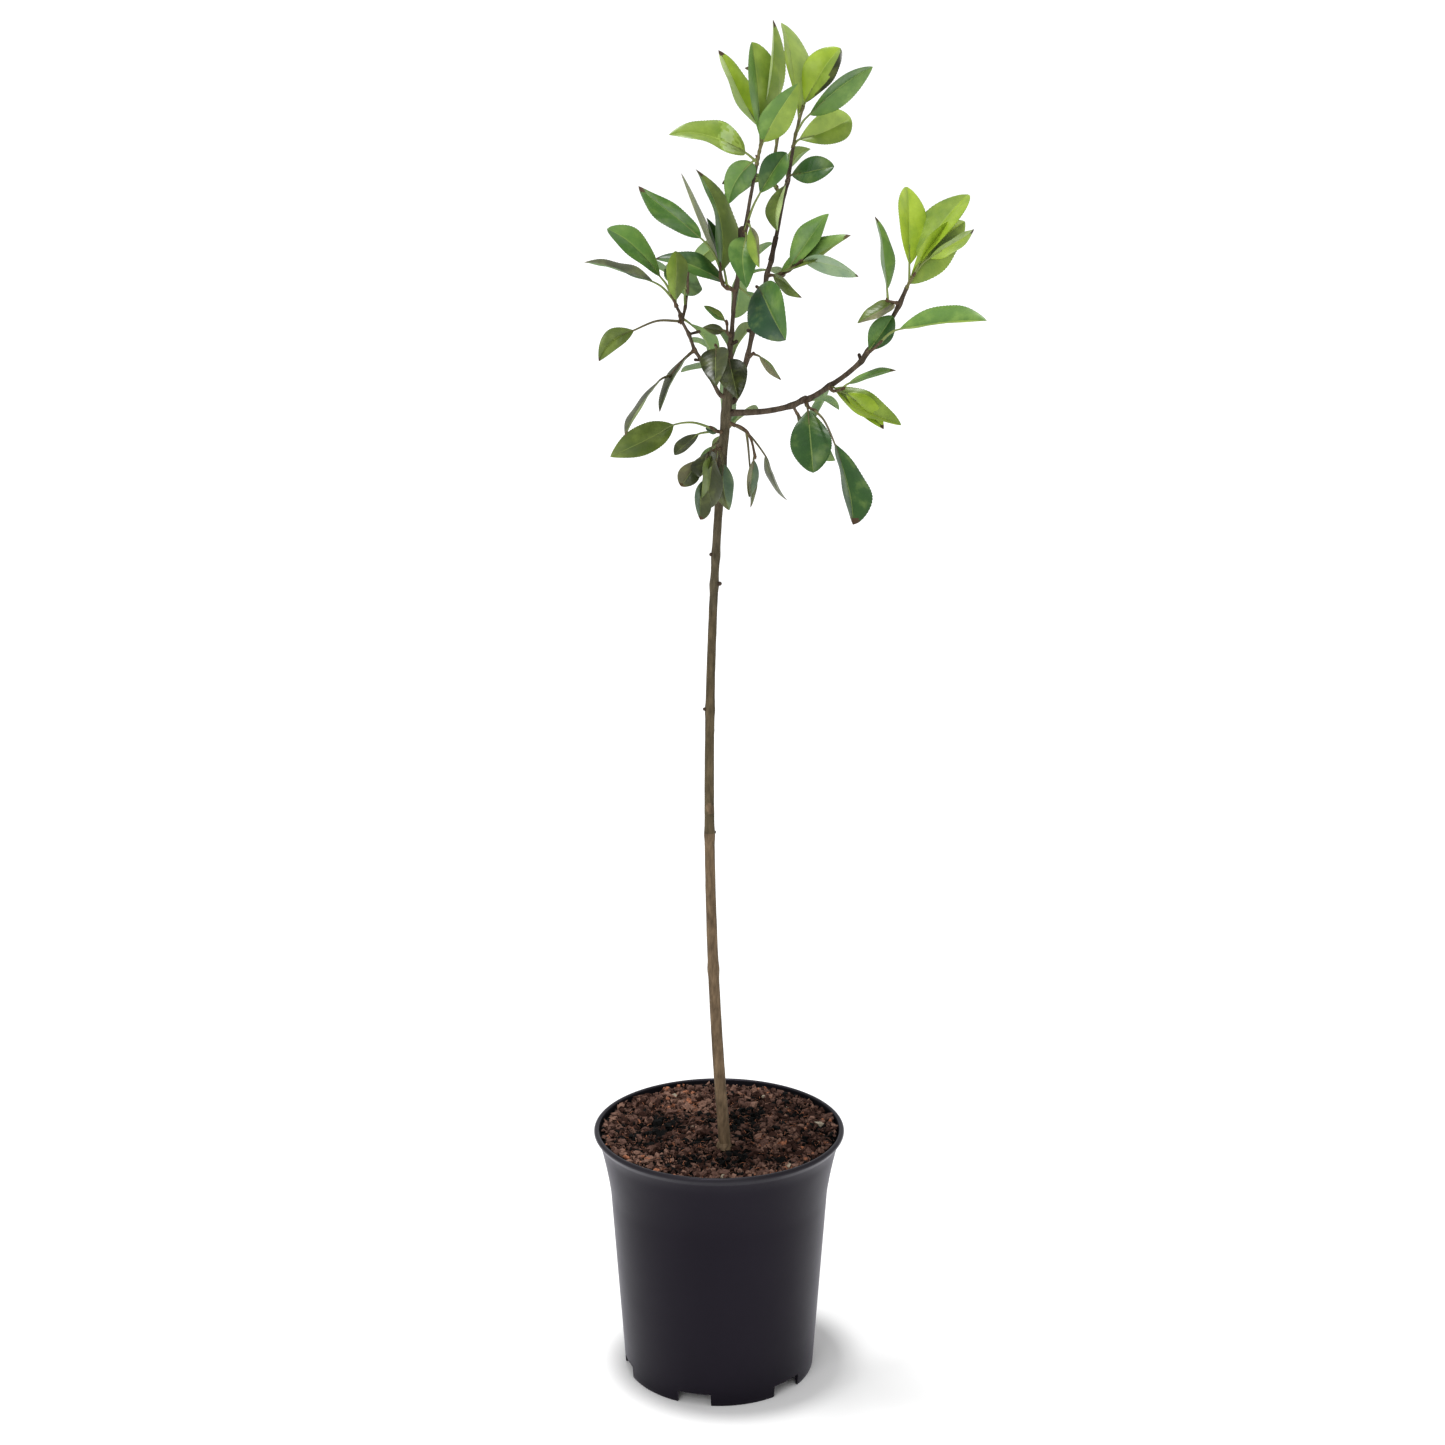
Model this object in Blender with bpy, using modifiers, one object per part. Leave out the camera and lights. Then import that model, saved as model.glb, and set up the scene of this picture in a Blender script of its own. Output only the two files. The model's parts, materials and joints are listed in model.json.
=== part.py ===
"""A young pear tree on a clear stem, in a round black nursery pot filled with compost.

Metres, +Z up. The origin is the centre of the pot's flat underside. The tree is described as it is
seen from its front, which is -Y: +X is to the right, and a smaller y is nearer.
"""

import math
import random
from collections import namedtuple

import bmesh
import bpy
from mathutils import Matrix, Vector
from mathutils.bvhtree import BVHTree

GAP = 0.0003                # clearance between two pieces that touch
WELD = 0.00001              # points closer than this become one
NAME = "potted_pear_tree"

# Pot
POT_HEIGHT = 0.226
RIM_RADIUS = 0.1105
BODY_TOP_RADIUS = 0.0957    # where the body meets the flared collar
FOOT_RADIUS = 0.0845
COLLAR_FOOT = 0.162         # height at which the collar starts to flare
COLLAR_CURVE = 1.35
COLLAR_STEPS = 4
WALL = 0.0024
LIP_RADIUS = 0.0022         # rounding of the rolled lip
LIP_DEPTH = 0.007           # height of the lip's outer band
LIP_WIDTH = 0.0048
LIP_STEPS = 3
LIP_UNDERCUT = 0.001        # fall of the lip's underside to the wall
FLOOR_TOP = 0.015
FLOOR_THICKNESS = 0.0025
HUB_RADIUS = 0.020          # flat boss in the middle of the underside
POT_STEPS = 36
DRAIN_STEPS = 12

# Foot notches and drain holes, six of each
NOTCHES = 6
NOTCH_WIDTH = 0.030
NOTCH_HEIGHT = 0.011
NOTCH_INNER_RADIUS = 0.074
NOTCH_FIRST_ANGLE = -75.0   # degrees from the front, towards the right
DRAIN_RADIUS = 0.0045
DRAIN_CIRCLE = 0.062

# Compost
SOIL_TOP = 0.221
SOIL_EDGE_DROP = 0.003
SOIL_FLAT_RADIUS = 0.062

# Trunk: planted in front of the pot's centre, with a slight lean and a bow to the left
TRUNK_FOOT = Vector((0.005, -0.035, SOIL_TOP + GAP))
TRUNK_ELBOW = Vector((-0.0225, -0.035, 0.564))
TRUNK_TOP = Vector((0.008, -0.035, 0.880))
TRUNK_FLARE_RADIUS = 0.0080
TRUNK_FLARE_HEIGHT = 0.016
TRUNK_FOOT_RADIUS = 0.0054
TRUNK_WAIST_RADIUS = 0.0033
TRUNK_FORK_RADIUS = 0.0042
TRUNK_WAIST = 0.80          # part of the trunk's length at which it is thinnest
TRUNK_RINGS = 18
TRUNK_SIDES = 10
LIMB_RINGS = 8
LIMB_SIDES = 6

# The front view looks a little down on the tree. These are its upward direction, and the direction
# towards the eye.
FRONT_DROP = math.radians(13.8)
FRONT_UP = Vector((0.0, math.sin(FRONT_DROP), math.cos(FRONT_DROP)))
FRONT_NEAR = Vector((0.0, -math.cos(FRONT_DROP), math.sin(FRONT_DROP)))

# Leaves and twigs
LEAF_THICKNESS = 0.0009
LEAF_LONGEST = 0.086
LEAF_BASE_HALF = 0.0008
LEAF_TIP_HALF = 0.0004
LEAF_ROWS = 4
TWIG_RADIUS = 0.0014
TWIG_TIP_RADIUS = 0.0010
TWIG_SIDES = 4
TWIG_RINGS = 4
TWIG_RISE = 0.5             # how long a twig keeps the way it set out
PETIOLE_RADIUS = 0.0009
PETIOLE_LONG = 0.015        # a longer stalk than this arches
PETIOLE_ARCH = 0.10
PETIOLE_LIFT = 0.5          # how far a leaf's stalk rises above the way the leaf points
COLLAR = 0.002              # a twig leaves its limb squarely over this length
FIRST_LEAF = 0.20           # the lowest leaf's place along its twig
TILT_SPREAD = 34.0          # degrees of a leaf towards and away from its mass's lean
BOW_RANGE = (-0.02, 0.10)   # over the leaf's length, towards its face
BEND_SPREAD = 0.12
FOLD_RANGE = (6.0, 24.0)    # degrees between each half of a leaf and its flat
LIGHT_RISE = 0.4            # leaves face outwards, and up by this much
CLEARANCE = 0.0011          # free space kept round a leaf's middle surface
SWINGS = (0, 14, -14, 28, -28, 42, -42, 56, -56)    # turns tried where a leaf meets something

# A blade's form: its breadth over its length, and the exponents that set where along it the blade
# is broadest, later for a higher peak, and how blunt its ends are, blunter for a lower end.
Form = namedtuple("Form", "breadth peak end")
FORMS = {
    "p": Form(0.50, 0.88, 0.80),    # pointed
    "r": Form(0.62, 1.30, 0.62),    # with a round end
    "b": Form(0.58, 0.64, 0.74),    # broad near its base
}

Limb = namedtuple("Limb", "name parent place elbow tip foot_radius tip_radius")

LIMBS = [
    Limb("leader_left", "trunk", 1.0, (0.0095, -0.036, 0.955), (0.0295, -0.055, 1.052), 0.0021, 0.0013),
    Limb("leader_right", "trunk", 0.985, (0.043, -0.026, 0.972), (0.059, -0.008, 1.065), 0.0021, 0.0014),
    Limb("bough_right", "trunk", 0.969, (0.106, -0.045, 0.858), (0.147, -0.060, 0.958), 0.0026, 0.0017),
    Limb("bough_left", "trunk", 0.988, (-0.018, -0.045, 0.904), (-0.033, -0.060, 0.944), 0.0018, 0.0012),
    Limb("bough_back", "trunk", 0.978, (0.011, -0.002, 0.879), (0.010, 0.024, 0.888), 0.0018, 0.0013),
]

# A mass grows from one twig: its limb, the place along it, where the twig ends, how far its leaves
# lean towards the front in degrees, and its age from 0, a soft new shoot, to 1. Each of its leaves
# has a letter for its form, the way it points seen from the front in degrees up from the right, its
# stalk, its blade's reach, and how broad the blade looks over that reach.
Mass = namedtuple("Mass", "name limb place tip lean age seed forms leaves")

MASSES = [
    Mass("leaves_top_left", "leader_left", 1.0, (0.0345, -0.062, 1.076), 8, 0.25, 25456, "bbprpp",
         [(167, 0.012, 0.059, 0.49), (-122, 0.006, 0.035, 0.75), (54, 0.008, 0.045, 0.46),
          (96, 0.006, 0.066, 0.39), (116, 0.010, 0.064, 0.33), (85, 0.014, 0.073, 0.16)]),
    Mass("leaves_top_right", "leader_right", 1.0, (0.067, 0.000, 1.096), 4, 0.1, 7729, "rprr",
         [(27, 0.007, 0.047, 0.75), (38, 0.019, 0.064, 0.18), (98, 0.005, 0.076, 0.30),
          (57, 0.004, 0.048, 0.59)]),
    Mass("leaves_right_mid", "leader_right", 0.88, (0.0545, -0.030, 1.042), 12, 0.85, 122, "pr",
         [(-101, 0.006, 0.038, 0.34), (5, 0.004, 0.032, 0.75)]),
    Mass("leaves_centre", "leader_left", 0.765, (0.023, -0.075, 1.009), 12, 0.5, 1719, "rbp",
         [(56, 0.032, 0.036, 0.75), (-89, 0.008, 0.041, 0.58), (-81, 0.006, 0.033, 0.27)]),
    Mass("leaves_right_shoot", "leader_right", 0.55, (0.064, -0.050, 0.978), 14, 0.6, 10087, "pppp",
         [(-46, 0.003, 0.030, 0.14), (26, 0.003, 0.059, 0.37), (55, 0.005, 0.048, 0.43),
          (-20, 0.003, 0.045, 0.14)]),
    Mass("leaves_centre_right", "leader_right", 0.49, (0.030, -0.055, 0.959), 25, 1.0, 11899, "r",
         [(-70, 0.004, 0.050, 0.59)]),
    Mass("leaves_left_upper", "leader_left", 0.535, (0.001, -0.050, 0.975), 10, 0.7, 13279, "ppppp",
         [(159, 0.008, 0.058, 0.38), (107, 0.020, 0.039, 0.27), (111, 0.016, 0.083, 0.08),
          (102, 0.003, 0.084, 0.25), (147, 0.027, 0.058, 0.16)]),
    Mass("leaves_left_mid", "bough_left", 1.0, (-0.0365, -0.062, 0.952), 5, 0.75, 12251, "rpr",
         [(88, 0.003, 0.036, 0.46), (161, 0.022, 0.056, 0.27), (139, 0.018, 0.052, 0.49)]),
    Mass("leaves_left_small", "leader_left", 0.345, (0.0065, -0.050, 0.930), 15, 0.9, 4281, "pp",
         [(176, 0.007, 0.016, 0.75), (143, 0.003, 0.020, 0.42)]),
    Mass("leaves_left_spur", "bough_left", 0.92, (-0.030, -0.065, 0.933), 5, 0.9, 4824, "p",
         [(-139, 0.038, 0.036, 0.75)]),
    Mass("leaves_left_drooping", "bough_left", 0.605, (-0.037, -0.062, 0.891), 5, 0.8, 4930, "pp",
         [(-117, 0.006, 0.051, 0.20), (-122, 0.014, 0.054, 0.20)]),
    Mass("leaves_fork_front", "leader_left", 0.24, (-0.002, -0.060, 0.913), 20, 1.0, 1712, "bb",
         [(-78, 0.003, 0.035, 0.73), (-90, 0.006, 0.033, 0.68)]),
    Mass("leaves_fork_right", "leader_right", 0.265, (0.027, -0.045, 0.906), 10, 0.8, 13310, "p",
         [(-49, 0.006, 0.026, 0.15)]),
    Mass("leaves_trunk_left", "trunk", 0.945, (-0.0055, -0.048, 0.8475), 10, 0.6, 12848, "rrp",
         [(174, 0.002, 0.010, 0.75), (-141, 0.014, 0.026, 0.49), (-153, 0.032, 0.056, 0.48)]),
    Mass("leaves_trunk_low", "trunk", 0.925, (-0.012, -0.058, 0.825), 15, 0.95, 8754, "prrrr",
         [(-83, 0.014, 0.038, 0.46), (-97, 0.014, 0.044, 0.37), (-110, 0.003, 0.025, 0.71),
          (-94, 0.036, 0.032, 0.42), (-122, 0.006, 0.026, 0.75)]),
    Mass("leaves_trunk_right", "trunk", 0.955, (0.029, -0.040, 0.825), 5, 0.8, 10032, "ppp",
         [(-65, 0.044, 0.039, 0.06), (-87, 0.026, 0.034, 0.20), (-97, 0.004, 0.030, 0.31)]),
    Mass("leaves_bough_under", "bough_right", 0.42, (0.076, -0.060, 0.863), 20, 1.0, 6555, "rr",
         [(-86, 0.012, 0.050, 0.75), (-77, 0.044, 0.066, 0.37)]),
    Mass("leaves_bough_mid", "bough_right", 0.535, (0.0975, -0.062, 0.880), 10, 0.45, 3245, "ppp",
         [(-28, 0.004, 0.060, 0.39), (-43, 0.010, 0.041, 0.43), (16, 0.006, 0.038, 0.30)]),
    Mass("leaves_bough_fork", "bough_right", 0.745, (0.126, -0.074, 0.917), 10, 0.7, 10529, "rp",
         [(54, 0.002, 0.030, 0.75), (2, 0.020, 0.063, 0.38)]),
    Mass("leaves_bough_side", "bough_right", 0.945, (0.132, -0.070, 0.949), 10, 0.7, 9666, "bp",
         [(-149, 0.003, 0.033, 0.47), (97, 0.009, 0.057, 0.23)]),
    Mass("leaves_bough_tip", "bough_right", 1.0, (0.152, -0.064, 0.968), 0, 0.05, 2182, "prpr",
         [(48, 0.003, 0.070, 0.33), (90, 0.014, 0.063, 0.40), (31, 0.022, 0.043, 0.14),
          (55, 0.012, 0.068, 0.43)]),
    Mass("leaves_back_top", "leader_right", 0.84, (0.0526, 0.030, 1.0964), -35, 0.3, 5, "prprp",
         [(60, 0.010, 0.036, 0.42), (-180, 0.012, 0.034, 0.42), (-144, 0.010, 0.040, 0.42),
          (96, 0.010, 0.036, 0.42), (132, 0.008, 0.040, 0.42)]),
    Mass("leaves_back_centre", "leader_left", 0.55, (0.0173, 0.022, 0.9748), -35, 0.6, 20, "prprr",
         [(-60, 0.008, 0.034, 0.42), (12, 0.010, 0.032, 0.42), (48, 0.010, 0.036, 0.42),
          (120, 0.010, 0.036, 0.42), (-96, 0.010, 0.034, 0.42)]),
    Mass("leaves_back_low", "bough_back", 1.0, (0.0068, 0.045, 0.8837), -40, 0.8, 253, "prppr",
         [(108, 0.010, 0.030, 0.42), (-96, 0.012, 0.036, 0.42), (144, 0.010, 0.034, 0.42),
          (-180, 0.010, 0.034, 0.42), (60, 0.010, 0.038, 0.42)]),
    Mass("leaves_trunk_back", "trunk", 0.935, (-0.0056, -0.004, 0.7982), -40, 0.9, 153, "prpr",
         [(-120, 0.010, 0.028, 0.42), (36, 0.014, 0.030, 0.42), (-84, 0.012, 0.028, 0.42),
          (72, 0.010, 0.032, 0.42)]),
    Mass("leaves_bough_rear", "bough_right", 0.36, (0.0764, 0.000, 0.8405), -40, 0.9, 35, "prpp",
         [(0, 0.008, 0.032, 0.42), (-84, 0.010, 0.030, 0.42), (-48, 0.010, 0.034, 0.42),
          (72, 0.010, 0.034, 0.42)]),
    Mass("leaves_left_rear", "bough_left", 0.88, (-0.0249, 0.000, 0.9678), -40, 0.7, 34, "prpp",
         [(-60, 0.010, 0.034, 0.42), (96, 0.012, 0.036, 0.42), (144, 0.012, 0.036, 0.42),
          (48, 0.010, 0.034, 0.42)]),
]

# Colours, as red, green and blue, and how dull each surface is
POT_COLOUR = (0.024, 0.024, 0.028)
SOIL_COLOUR = (0.070, 0.036, 0.025)
BARK_COLOUR = (0.150, 0.105, 0.070)
YOUNG_LEAF_COLOUR = (0.280, 0.400, 0.065)
OLD_LEAF_COLOUR = (0.050, 0.120, 0.050)
POT_ROUGHNESS = 0.38
SOIL_ROUGHNESS = 0.95
BARK_ROUGHNESS = 0.80
LEAF_ROUGHNESS = 0.45

Leaf = namedtuple("Leaf", "stalk base along across face length form bow bend fold")


def clear_scene():
    for thing in list(bpy.data.objects):
        bpy.data.objects.remove(thing, do_unlink=True)


def new_collection(name):
    collection = bpy.data.collections.new(name)
    bpy.context.scene.collection.children.link(collection)
    return collection


def principled(name, colour, roughness):
    material = bpy.data.materials.new(name)
    material.use_nodes = True
    shader = material.node_tree.nodes["Principled BSDF"]
    shader.inputs["Base Color"].default_value = (*colour, 1.0)
    shader.inputs["Roughness"].default_value = roughness
    material.diffuse_color = (*colour, 1.0)
    return material


def add_object(name, mesh, collection, material):
    thing = bpy.data.objects.new(name, mesh)
    collection.objects.link(thing)
    if material:
        mesh.materials.clear()
        mesh.materials.append(material)
    return thing


def evaluated_mesh(thing):
    """The object's mesh with its modifiers applied, in world space."""
    graph = bpy.context.evaluated_depsgraph_get()
    mesh = bpy.data.meshes.new_from_object(thing.evaluated_get(graph))
    mesh.transform(thing.matrix_world)
    return mesh


# Turned pieces

def collar_flare(z):
    """How far the collar stands out from the body at this height."""
    rise = max(0.0, z - COLLAR_FOOT) / (POT_HEIGHT - COLLAR_FOOT)
    return (RIM_RADIUS - LIP_WIDTH + WALL - BODY_TOP_RADIUS) * rise ** COLLAR_CURVE


def wall_radius(z):
    """Outer radius of the pot's wall, without its lip."""
    body = FOOT_RADIUS + (BODY_TOP_RADIUS - FOOT_RADIUS) * min(1.0, z / COLLAR_FOOT)
    return body + collar_flare(z)


def wall_heights(low, high):
    """Levels at which the wall's profile has a point, from low to high."""
    rise = (POT_HEIGHT - COLLAR_FOOT) / COLLAR_STEPS
    levels = [COLLAR_FOOT + rise * step for step in range(COLLAR_STEPS)]
    return [low] + [z for z in levels if low < z < high] + [high]


def turned(name, profile, collection, material):
    """A solid of revolution from a profile that runs down its outer side."""
    mesh = bpy.data.meshes.new(name)
    points = [(radius, 0.0, z) for radius, z in profile]
    mesh.from_pydata(points, [(i, i + 1) for i in range(len(points) - 1)], [])
    thing = add_object(name, mesh, collection, material)
    screw = thing.modifiers.new("turn", "SCREW")
    screw.axis = "Z"
    screw.steps = POT_STEPS
    screw.render_steps = POT_STEPS
    screw.use_merge_vertices = True
    screw.merge_threshold = WELD
    return thing


def lip_profile():
    """From the inner wall's top, over the rolled lip, to the wall under it."""
    points = []
    for centre_radius, first, last in ((RIM_RADIUS - LIP_WIDTH + LIP_RADIUS, 180, 90),
                                       (RIM_RADIUS - LIP_RADIUS, 90, 0)):
        for step in range(LIP_STEPS + 1):
            angle = math.radians(first + (last - first) * step / LIP_STEPS)
            points.append((centre_radius + LIP_RADIUS * math.cos(angle),
                           POT_HEIGHT - LIP_RADIUS + LIP_RADIUS * math.sin(angle)))
    under = POT_HEIGHT - LIP_DEPTH
    points.append((RIM_RADIUS, under))
    points.append((wall_radius(under), under - LIP_UNDERCUT))
    return points


def pot_profile():
    inner = [(wall_radius(z) - WALL, z) for z in wall_heights(FLOOR_TOP, POT_HEIGHT - LIP_DEPTH)]
    outer = [(wall_radius(z), z) for z in wall_heights(0.0, POT_HEIGHT - 2 * LIP_DEPTH)]
    floor_under = FLOOR_TOP - FLOOR_THICKNESS
    return ([(0.0, FLOOR_TOP)] + inner + lip_profile() + outer[::-1]
            + [(FOOT_RADIUS - WALL, 0.0), (FOOT_RADIUS - WALL, floor_under),
               (HUB_RADIUS, floor_under), (HUB_RADIUS, 0.0), (0.0, 0.0)])


def compost_profile():
    edge = SOIL_TOP - SOIL_EDGE_DROP
    side = [(wall_radius(z) - WALL - GAP, z) for z in wall_heights(FLOOR_TOP + GAP, edge)]
    return [(0.0, SOIL_TOP), (SOIL_FLAT_RADIUS, SOIL_TOP)] + side[::-1] + [(0.0, FLOOR_TOP + GAP)]


def around(index):
    """Turns the front direction to the place of this notch."""
    angle = math.radians(NOTCH_FIRST_ANGLE + 360.0 * index / NOTCHES)
    return Matrix.Rotation(angle, 4, "Z")


def add_cutter(thing, cutters):
    for owner in list(thing.users_collection):
        owner.objects.unlink(thing)
    cutters.objects.link(thing)
    thing.hide_render = True
    thing.display_type = "WIRE"


def foot_cutters(cutters):
    """Boxes for the notches in the foot ring, and pins for the drain holes."""
    depth = RIM_RADIUS - NOTCH_INNER_RADIUS
    for index in range(NOTCHES):
        turn = around(index)
        bpy.ops.mesh.primitive_cube_add(size=1.0)
        notch = bpy.context.object
        notch.name = f"notch_{index}"
        place = turn @ Vector((0.0, -NOTCH_INNER_RADIUS - depth / 2, 0.0))
        size = Matrix.Diagonal((NOTCH_WIDTH, depth, 2 * NOTCH_HEIGHT, 1.0))
        notch.data.transform(Matrix.Translation(place) @ turn @ size)
        add_cutter(notch, cutters)
        bpy.ops.mesh.primitive_cylinder_add(vertices=DRAIN_STEPS, radius=DRAIN_RADIUS,
                                            depth=4 * FLOOR_THICKNESS)
        drain = bpy.context.object
        drain.name = f"drain_{index}"
        drain.data.transform(Matrix.Translation(turn @ Vector((0.0, -DRAIN_CIRCLE, FLOOR_TOP))))
        add_cutter(drain, cutters)


def make_pot(parts, cutters):
    pot = turned("pot", pot_profile(), parts, principled("black plastic", POT_COLOUR, POT_ROUGHNESS))
    foot_cutters(cutters)
    cut = pot.modifiers.new("foot", "BOOLEAN")
    cut.operation = "DIFFERENCE"
    cut.operand_type = "COLLECTION"
    cut.collection = cutters
    cut.solver = "EXACT"


def make_compost(parts):
    turned("compost", compost_profile(), parts, principled("compost", SOIL_COLOUR, SOIL_ROUGHNESS))


# Limbs

def on_curve(start, elbow, tip, t):
    return start.lerp(elbow, t).lerp(elbow.lerp(tip, t), t)


def curve_path(start, elbow, tip, rings):
    return [on_curve(start, elbow, tip, step / (rings - 1)) for step in range(rings)]


def tapered(first, last, count):
    return [first + (last - first) * step / (count - 1) for step in range(count)]


def tube(name, path, radii, sides, collection, material):
    """A closed round tube along a path, with a radius at each point."""
    curve = bpy.data.curves.new(name, "CURVE")
    curve.dimensions = "3D"
    curve.bevel_depth = 1.0
    curve.bevel_resolution = (sides - 4) // 2
    curve.use_fill_caps = True
    spline = curve.splines.new("POLY")
    spline.points.add(len(path) - 1)
    for point, place, radius in zip(spline.points, path, radii):
        point.co = (*place, 1.0)
        point.radius = radius
    guide = bpy.data.objects.new(name + "_guide", curve)
    collection.objects.link(guide)
    mesh = evaluated_mesh(guide)
    bpy.data.objects.remove(guide)
    return add_object(name, welded(mesh), collection, material)


def welded(mesh):
    shape = bmesh.new()
    shape.from_mesh(mesh)
    bmesh.ops.remove_doubles(shape, verts=shape.verts, dist=WELD)
    bmesh.ops.recalc_face_normals(shape, faces=shape.faces)
    shape.to_mesh(mesh)
    shape.free()
    return mesh


def trunk_path():
    """A short upright stretch, so that the foot's cut is level, and then the bowed trunk."""
    upright = TRUNK_FOOT + Vector((0.0, 0.0, TRUNK_FLARE_HEIGHT / 3))
    return [TRUNK_FOOT] + curve_path(upright, TRUNK_ELBOW, TRUNK_TOP, TRUNK_RINGS)


def trunk_radius(t):
    """Root flare, an even taper to the waist, and the swelling under the fork."""
    flare = max(0.0, 1.0 - t * (TRUNK_TOP.z - TRUNK_FOOT.z) / TRUNK_FLARE_HEIGHT) ** 2
    taper = min(1.0, t / TRUNK_WAIST)
    swell = max(0.0, t - TRUNK_WAIST) / (1.0 - TRUNK_WAIST)
    return (TRUNK_FOOT_RADIUS + (TRUNK_WAIST_RADIUS - TRUNK_FOOT_RADIUS) * taper
            + (TRUNK_FLARE_RADIUS - TRUNK_FOOT_RADIUS) * flare
            + (TRUNK_FORK_RADIUS - TRUNK_WAIST_RADIUS) * swell)


def point_along(path, place):
    """The point at this part of the path, counted by its points, and the path's direction there."""
    exact = place * (len(path) - 1)
    index = min(int(exact), len(path) - 2)
    direction = (path[index + 1] - path[index]).normalized()
    return path[index].lerp(path[index + 1], exact - index), direction


def leave(limb, place, target):
    """Where a twig starts, clear of its limb, and the way it sets out towards its target."""
    path, radii = limb
    point, direction = point_along(path, place)
    if place == 1.0:
        return point + direction * GAP, direction
    aim = target - point
    outward = (aim - direction * aim.dot(direction)).normalized()
    exact = place * (len(radii) - 1)
    index = min(int(exact), len(radii) - 2)
    radius = radii[index] + (radii[index + 1] - radii[index]) * (exact - index)
    return point + outward * (radius + GAP), outward


def limb_path(limb, limbs):
    start, outward = leave(limbs[limb.parent], limb.place, Vector(limb.elbow))
    square = start + outward * COLLAR
    return [start] + curve_path(square, Vector(limb.elbow), Vector(limb.tip), LIMB_RINGS)


def grow_limbs():
    """Every limb's path and radii, by name."""
    path = trunk_path()
    limbs = {"trunk": (path, [trunk_radius(i / (len(path) - 1)) for i in range(len(path))])}
    for limb in LIMBS:
        path = limb_path(limb, limbs)
        limbs[limb.name] = (path, tapered(limb.foot_radius, limb.tip_radius, len(path)))
    return limbs


# The rule by which twigs and leaves grow

def twig_path(mass, limbs):
    tip = Vector(mass.tip)
    start, outward = leave(limbs[mass.limb], mass.place, tip)
    square = start + outward * COLLAR
    elbow = square + outward * (tip - square).length * TWIG_RISE
    return [start] + curve_path(square, elbow, tip, TWIG_RINGS)


def leaf_outline(t, form):
    """Half of the blade's breadth at this part of its length, for a breadth of 2."""
    return math.sin(math.pi * t ** form.peak) ** form.end if 0.0 < t < 1.0 else 0.0


def blade_point(leaf, t, s):
    """A point of the blade, t from its base to its tip and s from edge to edge."""
    arch = 4.0 * t * (1.0 - t) * leaf.length
    middle = leaf.base + leaf.along * leaf.length * t
    middle += (leaf.face * leaf.bow + leaf.across * leaf.bend) * arch
    least = LEAF_BASE_HALF + (LEAF_TIP_HALF - LEAF_BASE_HALF) * t
    half = max(least, leaf.length * leaf.form.breadth / 2 * leaf_outline(t, leaf.form))
    fold = math.radians(leaf.fold)
    return middle + leaf.across * s * half * math.cos(fold) + leaf.face * abs(s) * half * math.sin(fold)


def place_leaf(node, form, heading, stalk, reach, width, tilt, front, draws):
    """A leaf that grows from this node of its twig. The more it tilts, the longer it is, up to a limit."""
    side, bow, bend, fold = draws
    steepest = math.degrees(math.acos(min(1.0, reach / LEAF_LONGEST)))
    lean = math.radians(max(-steepest, min(steepest, tilt)))
    turn = math.radians(heading)
    flat = Vector((math.cos(turn), 0.0, 0.0)) + FRONT_UP * math.sin(turn)
    along = flat * math.cos(lean) + FRONT_NEAR * math.sin(lean)
    light = Vector((0.0, -front, LIGHT_RISE))
    face = (light - along * light.dot(along)).normalized()
    turned_away = width * math.cos(lean) / form.breadth / math.cos(math.radians(fold))
    roll = math.copysign(math.acos(min(1.0, turned_away)), side)
    face.rotate(Matrix.Rotation(roll, 3, along))
    across = along.cross(face)
    rise = (along + Vector((0.0, 0.0, PETIOLE_LIFT))).normalized()
    base = node + rise * stalk
    length = reach / math.cos(lean)
    leaf = Leaf([], base, along, across, face, length, form, bow, bend, fold)
    leaf.stalk.append(node)
    if stalk > PETIOLE_LONG:
        leaf.stalk.append(node.lerp(base, 0.5) + Vector((0.0, 0.0, stalk * PETIOLE_ARCH)))
    leaf.stalk.extend([base, blade_point(leaf, 1.0 / LEAF_ROWS, 0.0)])
    return leaf


def leaf_draws(mass):
    """The chance part of each leaf: its tilt, and then the side it rolls to, its bow, bend and fold."""
    chance = random.Random(mass.seed)
    draws = []
    for _ in mass.leaves:
        tilt = mass.lean + chance.uniform(-TILT_SPREAD, TILT_SPREAD)
        side = chance.uniform(-1.0, 1.0)
        bow = chance.uniform(*BOW_RANGE)
        bend = chance.uniform(-BEND_SPREAD, BEND_SPREAD)
        fold = chance.uniform(*FOLD_RANGE)
        draws.append((tilt, (side, bow, bend, fold)))
    return draws


def sheet_faces(rows, columns, first=0):
    return [(first + r * columns + c, first + r * columns + c + 1,
             first + (r + 1) * columns + c + 1, first + (r + 1) * columns + c)
            for r in range(rows - 1) for c in range(columns - 1)]


def blade_sheet(leaf, offset=0.0):
    """Points of the blade in rows of three, raised from its middle surface by the offset."""
    return [blade_point(leaf, row / LEAF_ROWS, side) + leaf.face * offset
            for row in range(LEAF_ROWS + 1) for side in (-1.0, 0.0, 1.0)]


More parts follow.
